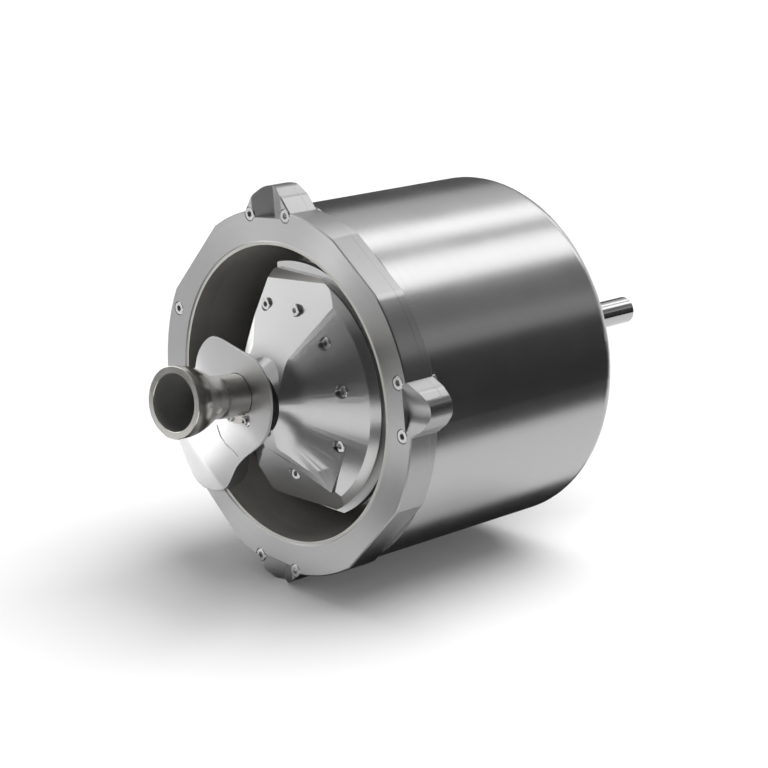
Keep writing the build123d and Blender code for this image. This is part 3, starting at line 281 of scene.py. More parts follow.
class Finish:
    """A procedural finish while its nodes are being laid."""

    def __init__(self, name, colour, roughness, metallic=1.0):
        self.material = bpy.data.materials.new(name)
        self.material.use_nodes = True
        self.material.diffuse_color = (*colour, 1.0)
        self.tree = self.material.node_tree
        self.shader = self.tree.nodes["Principled BSDF"]
        self.colour = colour
        self.roughness = roughness
        self.shader.inputs["Base Color"].default_value = (*colour, 1.0)
        self.shader.inputs["Roughness"].default_value = roughness
        self.shader.inputs["Metallic"].default_value = metallic
        self.place = self.add("ShaderNodeTexCoord").outputs["Object"]

    def add(self, kind, **settings):
        """New node with its settings."""
        node = self.tree.nodes.new(kind)
        for name, value in settings.items():
            setattr(node, name, value)
        return node

    def feed(self, socket, value):
        """Give an input a number or vector, or the output of another node."""
        if isinstance(value, bpy.types.NodeSocket):
            self.tree.links.new(value, socket)
        else:
            socket.default_value = value

    def number(self, operation, *values):
        """Result of an operation on numbers."""
        node = self.add("ShaderNodeMath", operation=operation)
        for socket, value in zip(node.inputs, values):
            self.feed(socket, value)
        return node.outputs[0]

    def vector(self, operation, *values):
        """Result of an operation on vectors, which is a vector or, for a length, a number."""
        node = self.add("ShaderNodeVectorMath", operation=operation)
        sockets = [s for s in node.inputs if s.enabled]
        for socket, value in zip(sockets, values):
            self.feed(socket, value)
        return node.outputs["Value" if operation == "LENGTH" else "Vector"]

    def parts_of(self, vector):
        """The x, y and z of a vector."""
        node = self.add("ShaderNodeSeparateXYZ")
        self.feed(node.inputs[0], vector)
        return node.outputs

    def joined(self, x, y, z):
        """Vector of three numbers."""
        node = self.add("ShaderNodeCombineXYZ")
        for socket, value in zip(node.inputs, (x, y, z)):
            self.feed(socket, value)
        return node.outputs[0]

    def noise(self, vector, scale, detail=2.0, fourth=None):
        """Noise at a vector, in four dimensions where a fourth number is given."""
        node = self.add("ShaderNodeTexNoise", noise_dimensions="3D" if fourth is None else "4D")
        self.feed(node.inputs["Vector"], vector)
        if fourth is not None:
            self.feed(node.inputs["W"], fourth)
        node.inputs["Scale"].default_value = scale
        node.inputs["Detail"].default_value = detail
        node.inputs["Roughness"].default_value = 0.5
        return node.outputs["Fac"]

    def blend(self, lines, clouds, lines_share):
        """Lines by their share s and clouds by the rest: s lines + (1 - s) clouds."""
        return self.number("ADD", self.number("MULTIPLY", lines, lines_share),
                           self.number("MULTIPLY", clouds, 1 - lines_share))

    def spread(self, value, low, high):
        """Stretch a noise's usual values to the range from low to high."""
        node = self.add("ShaderNodeMapRange")
        self.feed(node.inputs["Value"], value)
        for name, number in (("From Min", NOISE_LOW), ("From Max", NOISE_HIGH),
                             ("To Min", low), ("To Max", high)):
            node.inputs[name].default_value = number
        return node.outputs["Result"]

    def tint(self, value, contrast):
        """Blend between a darker and a lighter tone of the finish by a value."""
        mix = self.add("ShaderNodeMix", data_type="RGBA")
        sockets = [s for s in mix.inputs if s.enabled]
        self.feed(sockets[0], self.spread(value, 0.0, 1.0))
        for socket, level in zip(sockets[1:], (1 - contrast, 1 + contrast)):
            socket.default_value = (*[min(c * level, 1.0) for c in self.colour], 1.0)
        self.feed(self.shader.inputs["Base Color"], [s for s in mix.outputs if s.enabled][0])

    def vary_roughness(self, value, down, up):
        """Vary the roughness by a value, down and up from the finish's own."""
        varied = self.spread(value, self.roughness - down, self.roughness + up)
        self.feed(self.shader.inputs["Roughness"], varied)

    def bump(self, height, depth):
        """Fine relief of a height between 0 and 1, as deep as given in metres."""
        node = self.add("ShaderNodeBump")
        node.inputs["Strength"].default_value = 1.0
        node.inputs["Distance"].default_value = depth
        self.feed(node.inputs["Height"], height)
        self.feed(self.shader.inputs["Normal"], node.outputs["Normal"])

    def round_coordinates(self):
        """Radius about the shaft axis, station, and the direction round it as cosine and sine."""
        x, y, z = self.parts_of(self.place)
        radius = self.vector("LENGTH", self.joined(x, 0.0, z))
        safe = self.number("MAXIMUM", radius, 0.001)
        return radius, y, self.number("DIVIDE", x, safe), self.number("DIVIDE", z, safe)

    def tangent_across_lines(self, amount):
        """Stretch highlights across tool lines that run round the shaft axis."""
        x, _, z = self.parts_of(self.place)
        round_axis = self.vector("CROSS_PRODUCT", (0.0, 1.0, 0.0), self.joined(x, 0.0, z))
        along = self.vector("NORMALIZE", round_axis)
        normal = self.add("ShaderNodeNewGeometry").outputs["Normal"]
        across = self.vector("CROSS_PRODUCT", along, normal)
        self.feed(self.shader.inputs["Tangent"], across)
        self.shader.inputs["Anisotropic"].default_value = amount


def turned_steel(name, colour, roughness, pitch, anisotropy=ANISOTROPY, contrast=0.05):
    """Steel with fine tool lines round the shaft axis.

    The lines are a four-dimensional noise of radius and station over the pitch, which changes only
    slowly with the cosine and sine of the angle, so that each line runs a long way round.
    """
    finish = Finish(name, colour, roughness)
    radius, station, cosine, sine = finish.round_coordinates()
    slow = 0.8
    place = finish.joined(finish.number("DIVIDE", radius, pitch),
                          finish.number("DIVIDE", station, pitch),
                          finish.number("MULTIPLY", cosine, slow))
    lines = finish.noise(place, scale=1.0, detail=3.0,
                         fourth=finish.number("MULTIPLY", sine, slow))
    clouds = finish.noise(finish.place, scale=14.0, detail=3.0)
    finish.tint(finish.blend(lines, clouds, lines_share=0.65), contrast)
    finish.vary_roughness(clouds, down=0.02, up=0.02)
    finish.bump(lines, depth=0.0000015)
    finish.tangent_across_lines(anisotropy)
    return finish.material


def milled_steel(name, colour, roughness, pitch):
    """Steel with fine lines along x: a noise squeezed across the lines and drawn out along them."""
    finish = Finish(name, colour, roughness)
    mapping = finish.add("ShaderNodeMapping", vector_type="POINT")
    finish.feed(mapping.inputs["Vector"], finish.place)
    mapping.inputs["Scale"].default_value = (6.0, 1 / pitch, 1 / pitch)
    lines = finish.noise(mapping.outputs["Vector"], scale=1.0)
    clouds = finish.noise(finish.place, scale=22.0, detail=3.0)
    both = finish.blend(lines, clouds, lines_share=0.6)
    finish.tint(both, contrast=0.05)
    finish.vary_roughness(both, down=0.05, up=0.05)
    finish.bump(lines, depth=0.00002)
    return finish.material


def blasted_steel(name, colour, roughness, metallic=0.55):
    """Steel blasted to an even fine grain, with broad darker and lighter clouds."""
    finish = Finish(name, colour, roughness, metallic)
    grain = finish.noise(finish.place, scale=900.0)
    clouds = finish.noise(finish.place, scale=16.0, detail=4.0)
    finish.tint(clouds, contrast=0.12)
    finish.vary_roughness(grain, down=0.06, up=0.06)
    finish.bump(grain, depth=0.00004)
    return finish.material


def ground_steel(name, colour, roughness):
    """Bright ground steel with faint clouds."""
    finish = Finish(name, colour, roughness)
    clouds = finish.noise(finish.place, scale=60.0, detail=3.0)
    finish.tint(clouds, contrast=0.03)
    finish.vary_roughness(clouds, down=0.01, up=0.02)
    return finish.material


def moulded(name, colour, roughness):
    """Rubber or carbide: no metal, with a faint grain."""
    finish = Finish(name, colour, roughness, metallic=0.0)
    grain = finish.noise(finish.place, scale=1500.0)
    finish.tint(grain, contrast=0.15)
    finish.vary_roughness(grain, down=0.05, up=0.05)
    finish.bump(grain, depth=0.00002)
    return finish.material


# Meshes


def dress(material, *names):
    """Give CAD nodes a finish."""
    for name in names:
        slots = CAD_NODES[name].data.materials
        slots.clear()
        slots.append(material)


def softened(name, node, material, body, width):
    """Merged copy of a CAD node with slightly rounded edges, shown in the node's place."""
    mesh = bmesh.new()
    mesh.from_mesh(CAD_NODES[node].data)
    bmesh.ops.remove_doubles(mesh, verts=mesh.verts, dist=MERGE_DISTANCE)
    bmesh.ops.dissolve_limit(mesh, angle_limit=FLAT, verts=mesh.verts, edges=mesh.edges)
    data = bpy.data.meshes.new(name)
    mesh.to_mesh(data)
    mesh.free()
    data.materials.append(material)
    data.polygons.foreach_set("material_index", np.zeros(len(data.polygons), dtype=np.int32))
    data.shade_smooth()
    data.set_sharp_from_angle(angle=SHARP)
    piece = bpy.data.objects.new(name, data)
    bpy.context.scene.collection.objects.link(piece)
    edges = piece.modifiers.new("edges", "BEVEL")
    edges.width = width
    edges.segments = 2
    edges.limit_method = "ANGLE"
    edges.angle_limit = SHARP
    even = piece.modifiers.new("even_faces", "WEIGHTED_NORMAL")
    even.mode = "FACE_AREA"
    even.weight = 80
    even.keep_sharp = True
    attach(piece, body)
    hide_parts(node)
    return piece


def plain_mesh(name, corners, faces):
    """Object of corners and faces at the origin."""
    mesh = bpy.data.meshes.new(name)
    mesh.from_pydata(corners, [], faces)
    mesh.update()
    piece = bpy.data.objects.new(name, mesh)
    bpy.context.scene.collection.objects.link(piece)
    return piece


def grid_mesh(name, rows):
    """Mesh of rows of points, an array of row, place and x y z, joined round both ways."""
    count, places = rows.shape[:2]
    i, j = np.meshgrid(np.arange(count), np.arange(places), indexing="ij")
    after, beside = (i + 1) % count, (j + 1) % places
    faces = np.stack([i * places + j, i * places + beside,
                      after * places + beside, after * places + j], axis=-1)
    piece = plain_mesh(name, rows.reshape(-1, 3).tolist(), faces.reshape(-1, 4).tolist())
    piece.data.shade_smooth()
    piece.data.set_sharp_from_angle(angle=GRID_SHARP)
    return piece


def curve_part(a, b, c, d, t):
    """Catmull-Rom curve from b to c, with a before and d after them.

    It is (2b + (c - a)t + (2a - 5b + 4c - d)t^2 + (3b - a - 3c + d)t^3) / 2.
    """
    square, cube = 2 * a - 5 * b + 4 * c - d, 3 * b - a - 3 * c + d
    return (2 * b + (c - a) * t + square * t ** 2 + cube * t ** 3) / 2


def smooth_loop(points, count):
    """Closed curve through points, cut into equal lengths."""
    p = np.asarray(points, dtype=float)
    t = np.linspace(0, 1, 24, endpoint=False)[:, None]
    around = zip(np.roll(p, 1, 0), p, np.roll(p, -1, 0), np.roll(p, -2, 0))
    curve = np.concatenate([curve_part(a, b, c, d, t) for a, b, c, d in around])
    closed = np.vstack([curve, curve[:1]])
    steps = np.linalg.norm(np.diff(closed, axis=0), axis=1)
    length = np.concatenate([[0], np.cumsum(steps)])
    even = np.linspace(0, length[-1], count, endpoint=False)
    return np.column_stack([np.interp(even, length, column) for column in closed.T])


def smooth_line(points, steps):
    """Open curve through points, with as many steps from each point to the next."""
    p = np.asarray(points, dtype=float)
    p = np.vstack([2 * p[0] - p[1], p, 2 * p[-1] - p[-2]])
    t = np.linspace(0, 1, steps, endpoint=False)[:, None]
    curve = [curve_part(a, b, c, d, t) for a, b, c, d in zip(p, p[1:], p[2:], p[3:])]
    return np.vstack(curve + [p[-2:-1]])


# Operators


class MIXER_OT_ring(bpy.types.Operator):
    """Dress the milled front ring and the flange behind it"""

    bl_idname = "mixer.ring"
    bl_label = "Front ring"

    def execute(self, context):
        colours, finish = context.scene.mixer_colours, context.scene.mixer_finish
        steel = turned_steel("milled_ring", colours.ring, finish.ring_roughness,
                             finish.line_pitch, RING_ANISOTROPY)
        width = finish.edge_width
        softened("ring_rounded", "front_ring", steel, "housing", width)
        softened("flange_rounded", "drum_flange", steel, "housing", width)
        return {"FINISHED"}


class MIXER_OT_drum(bpy.types.Operator):
    """Dress the drum and its rear wall"""

    bl_idname = "mixer.drum"
    bl_label = "Drum"

    def execute(self, context):
        colours, finish = context.scene.mixer_colours, context.scene.mixer_finish
        steel = turned_steel("turned_drum", colours.drum, finish.drum_roughness,
                             finish.line_pitch)
        dress(steel, "drum_shell", "drum_back")
        return {"FINISHED"}


class MIXER_OT_bowl(bpy.types.Operator):
    """Dress the bowl"""

    bl_idname = "mixer.bowl"
    bl_label = "Bowl"

    def execute(self, context):
        colours, finish = context.scene.mixer_colours, context.scene.mixer_finish
        dress(blasted_steel("blasted_bowl", colours.bowl, finish.bowl_roughness),
              "mixing_bowl", "bowl_floor")
        return {"FINISHED"}


def plane_station(points, x, z):
    """Station of the plane through three points, at x and z: a x + b z + c."""
    matrix = np.array([(px, pz, 1.0) for px, pz, _ in points])
    a, b, c = np.linalg.solve(matrix, np.array([station for _, _, station in points]))
    return a * x + b * z + c


def soft_max(a, b, width):
    """Larger of two surfaces with a rounded change: (a + b + sqrt((a - b)^2 + width^2)) / 2."""
    return (a + b + np.sqrt((a - b) ** 2 + width ** 2)) / 2


def distance_to_line(line, x, z):
    """Distance of points from an open chain of straight parts, the least of those from each."""
    nearest = np.full(x.shape, np.inf)
    for (ax, az), (bx, bz) in zip(line[:-1], line[1:]):
        dx, dz = bx - ax, bz - az
        t = np.clip(((x - ax) * dx + (z - az) * dz) / (dx * dx + dz * dz), 0, 1)
        nearest = np.minimum(nearest, np.hypot(x - ax - t * dx, z - az - t * dz))
    return nearest


def bridge_front(x, z):
    """Front of the bridge: its face and planes joined softly, stopped by the foot's thickness.

    The scribed line is cut into it by its size times 1 - (distance / size)^2.
    """
    front = np.full(x.shape, BRIDGE_FACE)
    for points, width in zip(BRIDGE_PLANES, BRIDGE_KNEES):
        front = soft_max(front, plane_station(points, x, z), width)
    front = -soft_max(-front, np.full(x.shape, -BRIDGE_FOOT), FOOT_KNEE)
    distance = distance_to_line(BRIDGE_LINE, x, z)
    return front + LINE_SIZE * np.clip(1 - (distance / LINE_SIZE) ** 2, 0, 1)


def bridge_back(places):
    """Station of the bridge's back, by radius about the shaft axis."""
    radius, station = zip(*BRIDGE_BACK)
    return np.interp(np.linalg.norm(places, axis=1), radius, station)


def socket_reach(angle):
    """Distance from the tube's axis to the edge of the socket for the tube and its ear.

    It is the farthest reach whose point lies in the ear's rounded pocket, or else the radius.
    """
    reach = np.linspace(SOCKET_RADIUS, SOCKET_REACH, SOCKET_TRIES)[:, None]
    aside = np.maximum(abs(reach * np.cos(angle)) - SOCKET_STRAIGHT[0], 0)
    below = np.maximum(abs(reach * np.sin(angle) - EAR_DROP) - SOCKET_STRAIGHT[1], 0)
    inside = np.hypot(aside, below) <= SOCKET_CORNER
    return np.where(inside, reach, SOCKET_RADIUS).max(axis=0)


def bridge_rows():
    """Rows of the bridge from the socket's edge over its front, rim and back and up the bore.

    A row is a share s of the way from the socket's edge p0 to the outline p1, (1 - s) p0 + s p1.
    Its station is bridge_front there, bridge_back behind, or the socket's floor.
    """
    centre, lean = np.array(INLET_FOOT), np.array(INLET_LEAN)
    edge = smooth_loop(BRIDGE_EDGE, BRIDGE_PLACES)
    angle = np.arctan2(edge[:, 1] - centre[1], edge[:, 0] - centre[0])
    ray = np.column_stack([np.cos(angle), np.sin(angle)])
    reach = np.linalg.norm(edge - centre, axis=1)
    socket = centre + ray * socket_reach(angle)[:, None]
    rows = []

    def add(places, station):
        rows.append(np.column_stack([places[:, 0], station, places[:, 1]]))

    inner_edge = edge - ray * BRIDGE_ROUND
    for s in np.linspace(0, 1, FRONT_ROWS):
        places = socket + (inner_edge - socket) * s
        add(places, bridge_front(places[:, 0], places[:, 1]))
    rim = bridge_front(inner_edge[:, 0], inner_edge[:, 1])
    for turn in np.radians((30.0, 60.0, 90.0)):
        add(inner_edge + ray * BRIDGE_ROUND * math.sin(turn),
            rim + BRIDGE_ROUND * (1 - math.cos(turn)))
    narrow = BACK_LEAST + (reach - BACK_FROM) / BACK_OVER * BACK_GROWTH
    narrow = np.clip(narrow, BACK_LEAST, 1.0)[:, None]
    back_edge = centre + (edge - centre) * narrow
    back_station = np.maximum(bridge_back(back_edge), rim + BRIDGE_WALL)
    for s in np.linspace(0.1, 1, SIDE_ROWS):
        places = edge + (back_edge - edge) * s
        add(places, (rim + BRIDGE_ROUND) * (1 - s) + back_station * s)
    behind = centre + lean * BRIDGE_THICK + ray * TUBE_BORE
    for s in np.linspace(0, 1, BACK_ROWS)[1:]:
        places = back_edge + (behind - back_edge) * s
        add(places, np.minimum(bridge_back(places), back_station))
    floor = centre + lean * SOCKET_DEPTH
    floor_station = np.full(len(edge), BRIDGE_FACE + SOCKET_DEPTH)
    add(floor + ray * TUBE_BORE, floor_station)
    add(socket, floor_station)
    return np.array(rows) * 0.001 - np.array([0.0, HOUSING_LENGTH, 0.0])


class MIXER_OT_bridge(bpy.types.Operator):
    """Make the inlet bridge with its rounded outline and softly joined faces"""

    bl_idname = "mixer.bridge"
    bl_label = "Inlet bridge"

    def execute(self, context):
        colours, finish = context.scene.mixer_colours, context.scene.mixer_finish
        steel = milled_steel("milled_bridge", colours.bridge, finish.bridge_roughness,
                             finish.line_pitch)
        piece = grid_mesh("bridge_body", bridge_rows())
        piece.data.materials.append(steel)
        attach(piece, "housing")
        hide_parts("inlet_bridge")
        return {"FINISHED"}


def on_inlet_axis(across, along, height):
    """Points of the tube's frame in the part's: foot + across X' + along Y' + height Z'."""
    a, b = INLET_TURN, INLET_RISE
    axes = np.array([
        (math.cos(a), math.sin(a), 0.0),
        (math.sin(a) * math.cos(b), -math.cos(a) * math.cos(b), math.sin(b)),
        (-math.sin(a) * math.sin(b), math.cos(a) * math.sin(b), math.cos(b)),
    ])
    foot = np.array([INLET_FOOT[0], BRIDGE_FACE - HOUSING_LENGTH * 1000, INLET_FOOT[1]])
    return (foot + np.stack([across, along, height], axis=-1) @ axes) * 0.001


def lathe_rows(profile):
    """Surface of revolution (radius cos a, distance, radius sin a) of distances and radii."""
    angle = np.linspace(0, 2 * np.pi, TUBE_PLACES, endpoint=False)
    distance, radius = np.asarray(profile).T
    return on_inlet_axis(radius[:, None] * np.cos(angle), distance[:, None] + 0 * angle,
                         radius[:, None] * np.sin(angle))


def ear_rows():
    """Rounded plate below the tube's foot: rows that are shares of one rounded rectangle.

    A corner of it is (middle + corner cos a, middle + corner sin a) through a quarter turn.
    """
    corner = np.linspace(0, np.pi / 2, 9)
    places = []
    for quarter, (sign_x, sign_z) in enumerate(((1, 1), (-1, 1), (-1, -1), (1, -1))):
        turn = corner + quarter * np.pi / 2
        places.append(np.column_stack([
            sign_x * (EAR_HALF[0] - EAR_CORNER) + EAR_CORNER * np.cos(turn),
            sign_z * (EAR_HALF[1] - EAR_CORNER) + EAR_CORNER * np.sin(turn)]))
    x, z = np.vstack(places).T
    return np.array([on_inlet_axis(x * part, np.full(len(x), along), z * part + EAR_DROP)
                     for part, along in EAR_ROWS])


class MIXER_OT_tube(bpy.types.Operator):
    """Turn the inlet tube with its flared collar and a bore darkened by painted shade, and lay its
    ear
    """

    bl_idname = "mixer.tube"
    bl_label = "Inlet tube"

    def execute(self, context):
        colours, finish = context.scene.mixer_colours, context.scene.mixer_finish
        outside = smooth_line(TUBE_OUTSIDE, TUBE_STEPS)
        inside = smooth_line(TUBE_INSIDE, TUBE_STEPS)
        tube = grid_mesh("tube_turned", lathe_rows(np.vstack([outside, TUBE_RIM, inside])))
        steel = ground_steel("polished_tube", colours.tube, finish.tube_roughness)
        # The bore is a rougher finish, and its dark non-metal colour is painted shade for the
        # tube's hollow.
        bore = blasted_steel("tube_bore_painted_shade", colours.bore, finish.bore_roughness, metallic=0.0)
        tube.data.materials.append(steel)
        tube.data.materials.append(bore)
        first = (len(outside) + len(TUBE_RIM) - 1) * TUBE_PLACES
        index = np.zeros(len(tube.data.polygons), dtype=np.int32)
        index[first:first + len(inside) * TUBE_PLACES] = 1
        tube.data.polygons.foreach_set("material_index", index)
        ear = grid_mesh("tube_ear", ear_rows())
        ear.data.materials.append(steel)
        for piece in (tube, ear):
            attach(piece, "housing")
            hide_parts("inlet_tube")
        return {"FINISHED"}


class MIXER_OT_rotor(bpy.types.Operator):
    """Dress the conical rotor with its disc, vanes and weight"""

    bl_idname = "mixer.rotor"
    bl_label = "Rotor"

    def execute(self, context):
        colours, finish = context.scene.mixer_colours, context.scene.mixer_finish
        steel = turned_steel("brushed_rotor", colours.rotor, finish.rotor_roughness,
                             finish.line_pitch)
        softened("cone_rounded", "impeller_cone", steel, "rotor",
                 finish.edge_width)
        dress(steel, "rotor_disc", "rotor_vanes", "balance_weight")
        return {"FINISHED"}


class MIXER_OT_stator(bpy.types.Operator):
    """Dress the slotted stator"""

    bl_idname = "mixer.stator"
    bl_label = "Stator"

    def execute(self, context):
        colours, finish = context.scene.mixer_colours, context.scene.mixer_finish
        dress(turned_steel("machined_stator", colours.stator, finish.stator_roughness,
                           finish.line_pitch), "stator_ring")
        return {"FINISHED"}


class MIXER_OT_shaft(bpy.types.Operator):
    """Dress the shaft"""

    bl_idname = "mixer.shaft"
    bl_label = "Shaft"

    def execute(self, context):
        colours, finish = context.scene.mixer_colours, context.scene.mixer_finish
        dress(turned_steel("ground_shaft", colours.shaft, finish.shaft_roughness,
                           finish.line_pitch, contrast=0.03), "drive_shaft")
        return {"FINISHED"}


class MIXER_OT_screws(bpy.types.Operator):
    """Dress every screw, the nut and the clip"""

    bl_idname = "mixer.screws"
    bl_label = "Screws"

    def execute(self, context):
        colours, finish = context.scene.mixer_colours, context.scene.mixer_finish
        dress(ground_steel("bright_screws", colours.screws, finish.screw_roughness),
              "ring_screws", "bridge_screws", "inlet_screws", "stator_screws", "housing_screws",
              "cap_screws", "cone_screws", "rotor_nut", "retaining_ring")
        return {"FINISHED"}


class MIXER_OT_cartridge(bpy.types.Operator):
    """Dress the bearing cartridge, the bearings and the seals"""

    bl_idname = "mixer.cartridge"
    bl_label = "Cartridge"

    def execute(self, context):
        colours, finish = context.scene.mixer_colours, context.scene.mixer_finish
        dress(blasted_steel("machined_iron", colours.iron, finish.iron_roughness),
              "bearing_housing", "housing_flange", "bearing_cap")
        dress(ground_steel("bearing_steel", colours.bearing, finish.bearing_roughness),
              "front_bearing_outer_race", "rear_bearing_outer_race",
              "front_bearing_inner_race", "rear_bearing_inner_race")
        dress(moulded("seal_rubber", colours.rubber, finish.rubber_roughness),
              "rear_shaft_seal")
        dress(moulded("seal_carbide", colours.carbide, finish.carbide_roughness),
              "seal_seat", "seal_head")
        return {"FINISHED"}


def seen_rays(tree):
    """1 for camera, glossy and transmission rays, else 0."""
    path = tree.nodes.new("ShaderNodeLightPath")
    value = path.outputs["Is Camera Ray"]
    for name in ("Is Glossy Ray", "Is Transmission Ray"):
        larger = tree.nodes.new("ShaderNodeMath")
        larger.operation = "MAXIMUM"
        tree.links.new(value, larger.inputs[0])
        tree.links.new(path.outputs[name], larger.inputs[1])
        value = larger.outputs[0]
    return value


def lit_as_seen(material, glow, colour):
    """Floor shader: matt, with a glow added for what the camera and shiny surfaces see of it."""
    material.use_nodes = True
    tree = material.node_tree
    tree.nodes.clear()
    output = tree.nodes.new("ShaderNodeOutputMaterial")
    matt = tree.nodes.new("ShaderNodeBsdfDiffuse")
    matt.inputs["Color"].default_value = (*colour, 1.0)
    light = tree.nodes.new("ShaderNodeEmission")
    light.inputs["Strength"].default_value = glow
    both = tree.nodes.new("ShaderNodeAddShader")
    choice = tree.nodes.new("ShaderNodeMixShader")
    tree.links.new(matt.outputs[0], both.inputs[0])
    tree.links.new(light.outputs[0], both.inputs[1])
    tree.links.new(matt.outputs[0], choice.inputs[1])
    tree.links.new(both.outputs[0], choice.inputs[2])
    tree.links.new(seen_rays(tree), choice.inputs[0])
    tree.links.new(choice.outputs[0], output.inputs["Surface"])


def softbox(direction, spread, power):
    """Wide soft lamp, as far off as the sun, whose light falls in a direction.

    No reflection shows it.
    """
    data = bpy.data.lights.new("softbox_above", "SUN")
    data.energy = power
    data.angle = spread
    lamp = bpy.data.objects.new("softbox_above", data)
    lamp.rotation_mode = "QUATERNION"
    lamp.rotation_quaternion = Vector(direction).to_track_quat("-Z", "Y")
    lamp.visible_camera = False
    lamp.visible_glossy = False
    bpy.context.scene.collection.objects.link(lamp)


def card(name, corners, faces, brightness):
    """Studio card that only reflections see."""
    piece = plain_mesh(name, corners, faces)
    material = bpy.data.materials.new(name)
    material.use_nodes = True
    shader = material.node_tree.nodes["Principled BSDF"]
    shader.inputs["Base Color"].default_value = BLACK
    shader.inputs["Specular IOR Level"].default_value = 0.0
    shader.inputs["Emission Color"].default_value = WHITE
    shader.inputs["Emission Strength"].default_value = brightness
    piece.data.materials.append(material)
    piece.visible_camera = False
    piece.visible_diffuse = False
    piece.visible_shadow = False


def flat_card(name, first, last, brightness):
    """Rectangle between two opposite corners that share one measure."""
    (x0, y0, z0), (x1, y1, z1) = first, last
    if z0 == z1:
        corners = [(x0, y0, z0), (x1, y0, z0), (x1, y1, z0), (x0, y1, z0)]
    else:
        corners = [(x0, y0, z0), (x1, y1, z0), (x1, y1, z1), (x0, y0, z1)]
    card(name, corners, [(0, 1, 2, 3)], brightness)


def card_bands(name, bands, front, back):
    """Strips of a cylinder about the shaft axis, (radius cos a, y, radius sin a).

    Each band holds two angles and a brightness. A strip is a grid of angle against length, and
    stays above the floor.
    """
    lowest = CAD_BOX[0].z + BANDS_ABOVE
    row = np.arange(BAND_STEPS)
    across = row + BAND_STEPS + 1
    faces = np.stack([row, row + 1, across + 1, across], axis=1).tolist()
    for number, (start, end, brightness) in enumerate(bands):
        angles = np.radians(np.linspace(start, end, BAND_STEPS + 1))
        x = np.cos(angles) * BANDS_RADIUS
        z = np.maximum(np.sin(angles) * BANDS_RADIUS, lowest)
        corners = [np.column_stack([x, np.full(len(x), y), z]) for y in (front, back)]
        card(f"{name}_{number}", np.concatenate(corners).tolist(), faces, brightness)


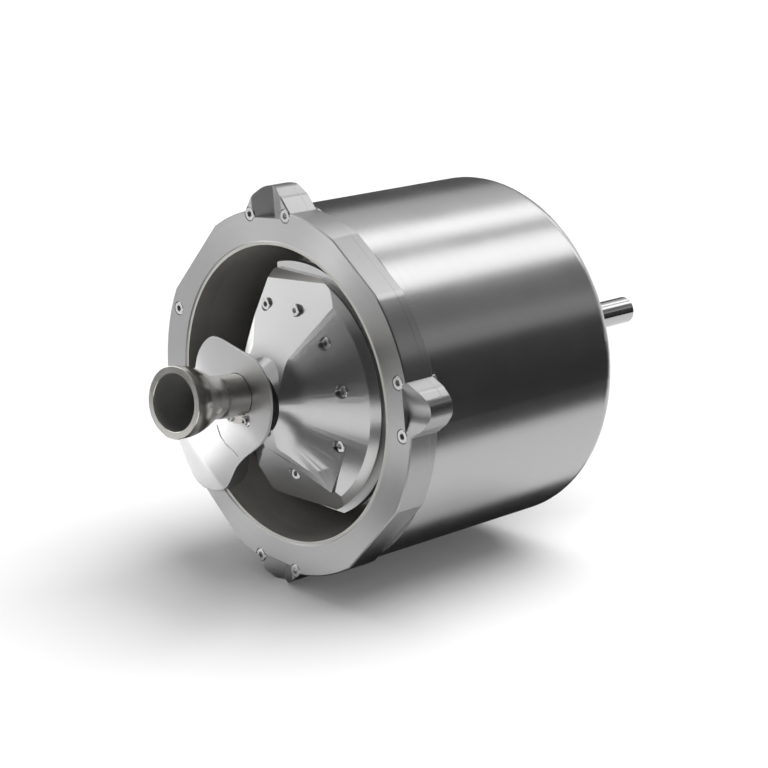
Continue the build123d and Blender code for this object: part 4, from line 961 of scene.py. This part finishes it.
class MIXER_OT_stage(bpy.types.Operator):
    """Make the floor, the background, the lamps and the camera"""

    bl_idname = "mixer.stage"
    bl_label = "Stage"

    def execute(self, context):
        settings = context.scene.mixer_stage
        half, level = FLOOR_HALF, CAD_BOX[0].z
        corners = [(-half, -half, level), (half, -half, level),
                   (half, half, level), (-half, half, level)]
        floor = plain_mesh("floor", corners, [(0, 1, 2, 3)])
        paint = bpy.data.materials.new("floor_paint")
        lit_as_seen(paint, settings.floor_glow, settings.floor_colour)
        floor.data.materials.append(paint)
        self.sky(context.scene, settings)
        softbox(LAMP_FALL, LAMP_SPREAD, settings.lamp_level)
        card_bands("card_behind", BANDS_BEHIND, BANDS_MEET, BANDS_END)
        card_bands("card_before", BANDS_BEFORE, -BANDS_END, BANDS_MEET)
        for name, (first, last, brightness) in CARDS.items():
            flat_card(name, first, last, brightness)
        self.camera(context.scene, settings)
        context.scene.view_settings.view_transform = "Standard"
        return {"FINISHED"}

    def sky(self, scene, settings):
        """White background, and softer even light for everything that isn't shiny."""
        world = bpy.data.worlds.new("studio")
        scene.world = world
        world.use_nodes = True
        tree = world.node_tree
        tree.nodes.clear()
        output = tree.nodes.new("ShaderNodeOutputWorld")
        choice = tree.nodes.new("ShaderNodeMixShader")
        tree.links.new(seen_rays(tree), choice.inputs[0])
        for place, strength in ((1, settings.daylight), (2, 1.0)):
            light = tree.nodes.new("ShaderNodeBackground")
            light.inputs["Color"].default_value = WHITE
            light.inputs["Strength"].default_value = strength
            tree.links.new(light.outputs[0], choice.inputs[place])
        tree.links.new(choice.outputs[0], output.inputs["Surface"])

    def camera(self, scene, settings):
        """Camera at the photograph's view, looking past the ring's front face."""
        azimuth, elevation = settings.camera_azimuth, settings.camera_elevation
        back = Vector((math.sin(azimuth) * math.cos(elevation),
                       -math.cos(azimuth) * math.cos(elevation), math.sin(elevation)))
        right = (-back).cross(Vector((0, 0, 1))).normalized()
        up = right.cross(-back)
        stand = back + CAMERA_ASIDE * right + CAMERA_ABOVE * up
        ring_centre = Vector((0.0, -HOUSING_LENGTH, 0.0))
        data = bpy.data.cameras.new("camera")
        data.lens = settings.camera_lens
        data.sensor_width = CAMERA_SENSOR
        camera = bpy.data.objects.new("camera", data)
        camera.location = ring_centre + settings.camera_distance * stand
        camera.rotation_mode = "QUATERNION"
        camera.rotation_quaternion = (-back).to_track_quat("-Z", "Y")
        scene.collection.objects.link(camera)
        scene.camera = camera


class MIXER_PT_panel(bpy.types.Panel):
    """Lists every step of the mixer head in the sidebar"""

    bl_idname = "MIXER_PT_panel"
    bl_label = "High Shear Mixer Head"
    bl_space_type = "VIEW_3D"
    bl_region_type = "UI"
    bl_category = "Mixer"

    def draw(self, context):
        scene = context.scene
        for settings in (scene.mixer_colours, scene.mixer_finish, scene.mixer_stage):
            for name in settings.__annotations__:
                self.layout.prop(settings, name)
        for step in STEPS:
            self.layout.operator(step.bl_idname)


STEPS = (MIXER_OT_ring, MIXER_OT_drum, MIXER_OT_bowl, MIXER_OT_bridge, MIXER_OT_tube,
         MIXER_OT_rotor, MIXER_OT_stator, MIXER_OT_shaft, MIXER_OT_screws, MIXER_OT_cartridge,
         MIXER_OT_stage)
GROUPS = {"mixer_colours": MixerColours, "mixer_finish": MixerFinish, "mixer_stage": MixerStage}


def register():
    """Register the property groups, the operators and the panel."""
    for name, group in GROUPS.items():
        bpy.utils.register_class(group)
        setattr(bpy.types.Scene, name, PointerProperty(type=group))
    for step in STEPS:
        bpy.utils.register_class(step)
    bpy.utils.register_class(MIXER_PT_panel)


def unregister():
    """Take them away again, last ones first."""
    bpy.utils.unregister_class(MIXER_PT_panel)
    for step in reversed(STEPS):
        bpy.utils.unregister_class(step)
    for name, group in GROUPS.items():
        delattr(bpy.types.Scene, name)
        bpy.utils.unregister_class(group)


def main():
    """Dress the part and make the studio."""
    register()
    bpy.ops.mixer.ring()
    bpy.ops.mixer.drum()
    bpy.ops.mixer.bowl()
    bpy.ops.mixer.bridge()
    bpy.ops.mixer.tube()
    bpy.ops.mixer.rotor()
    bpy.ops.mixer.stator()
    bpy.ops.mixer.shaft()
    bpy.ops.mixer.screws()
    bpy.ops.mixer.cartridge()
    bpy.ops.mixer.stage()


if __name__ == "__main__":
    main()
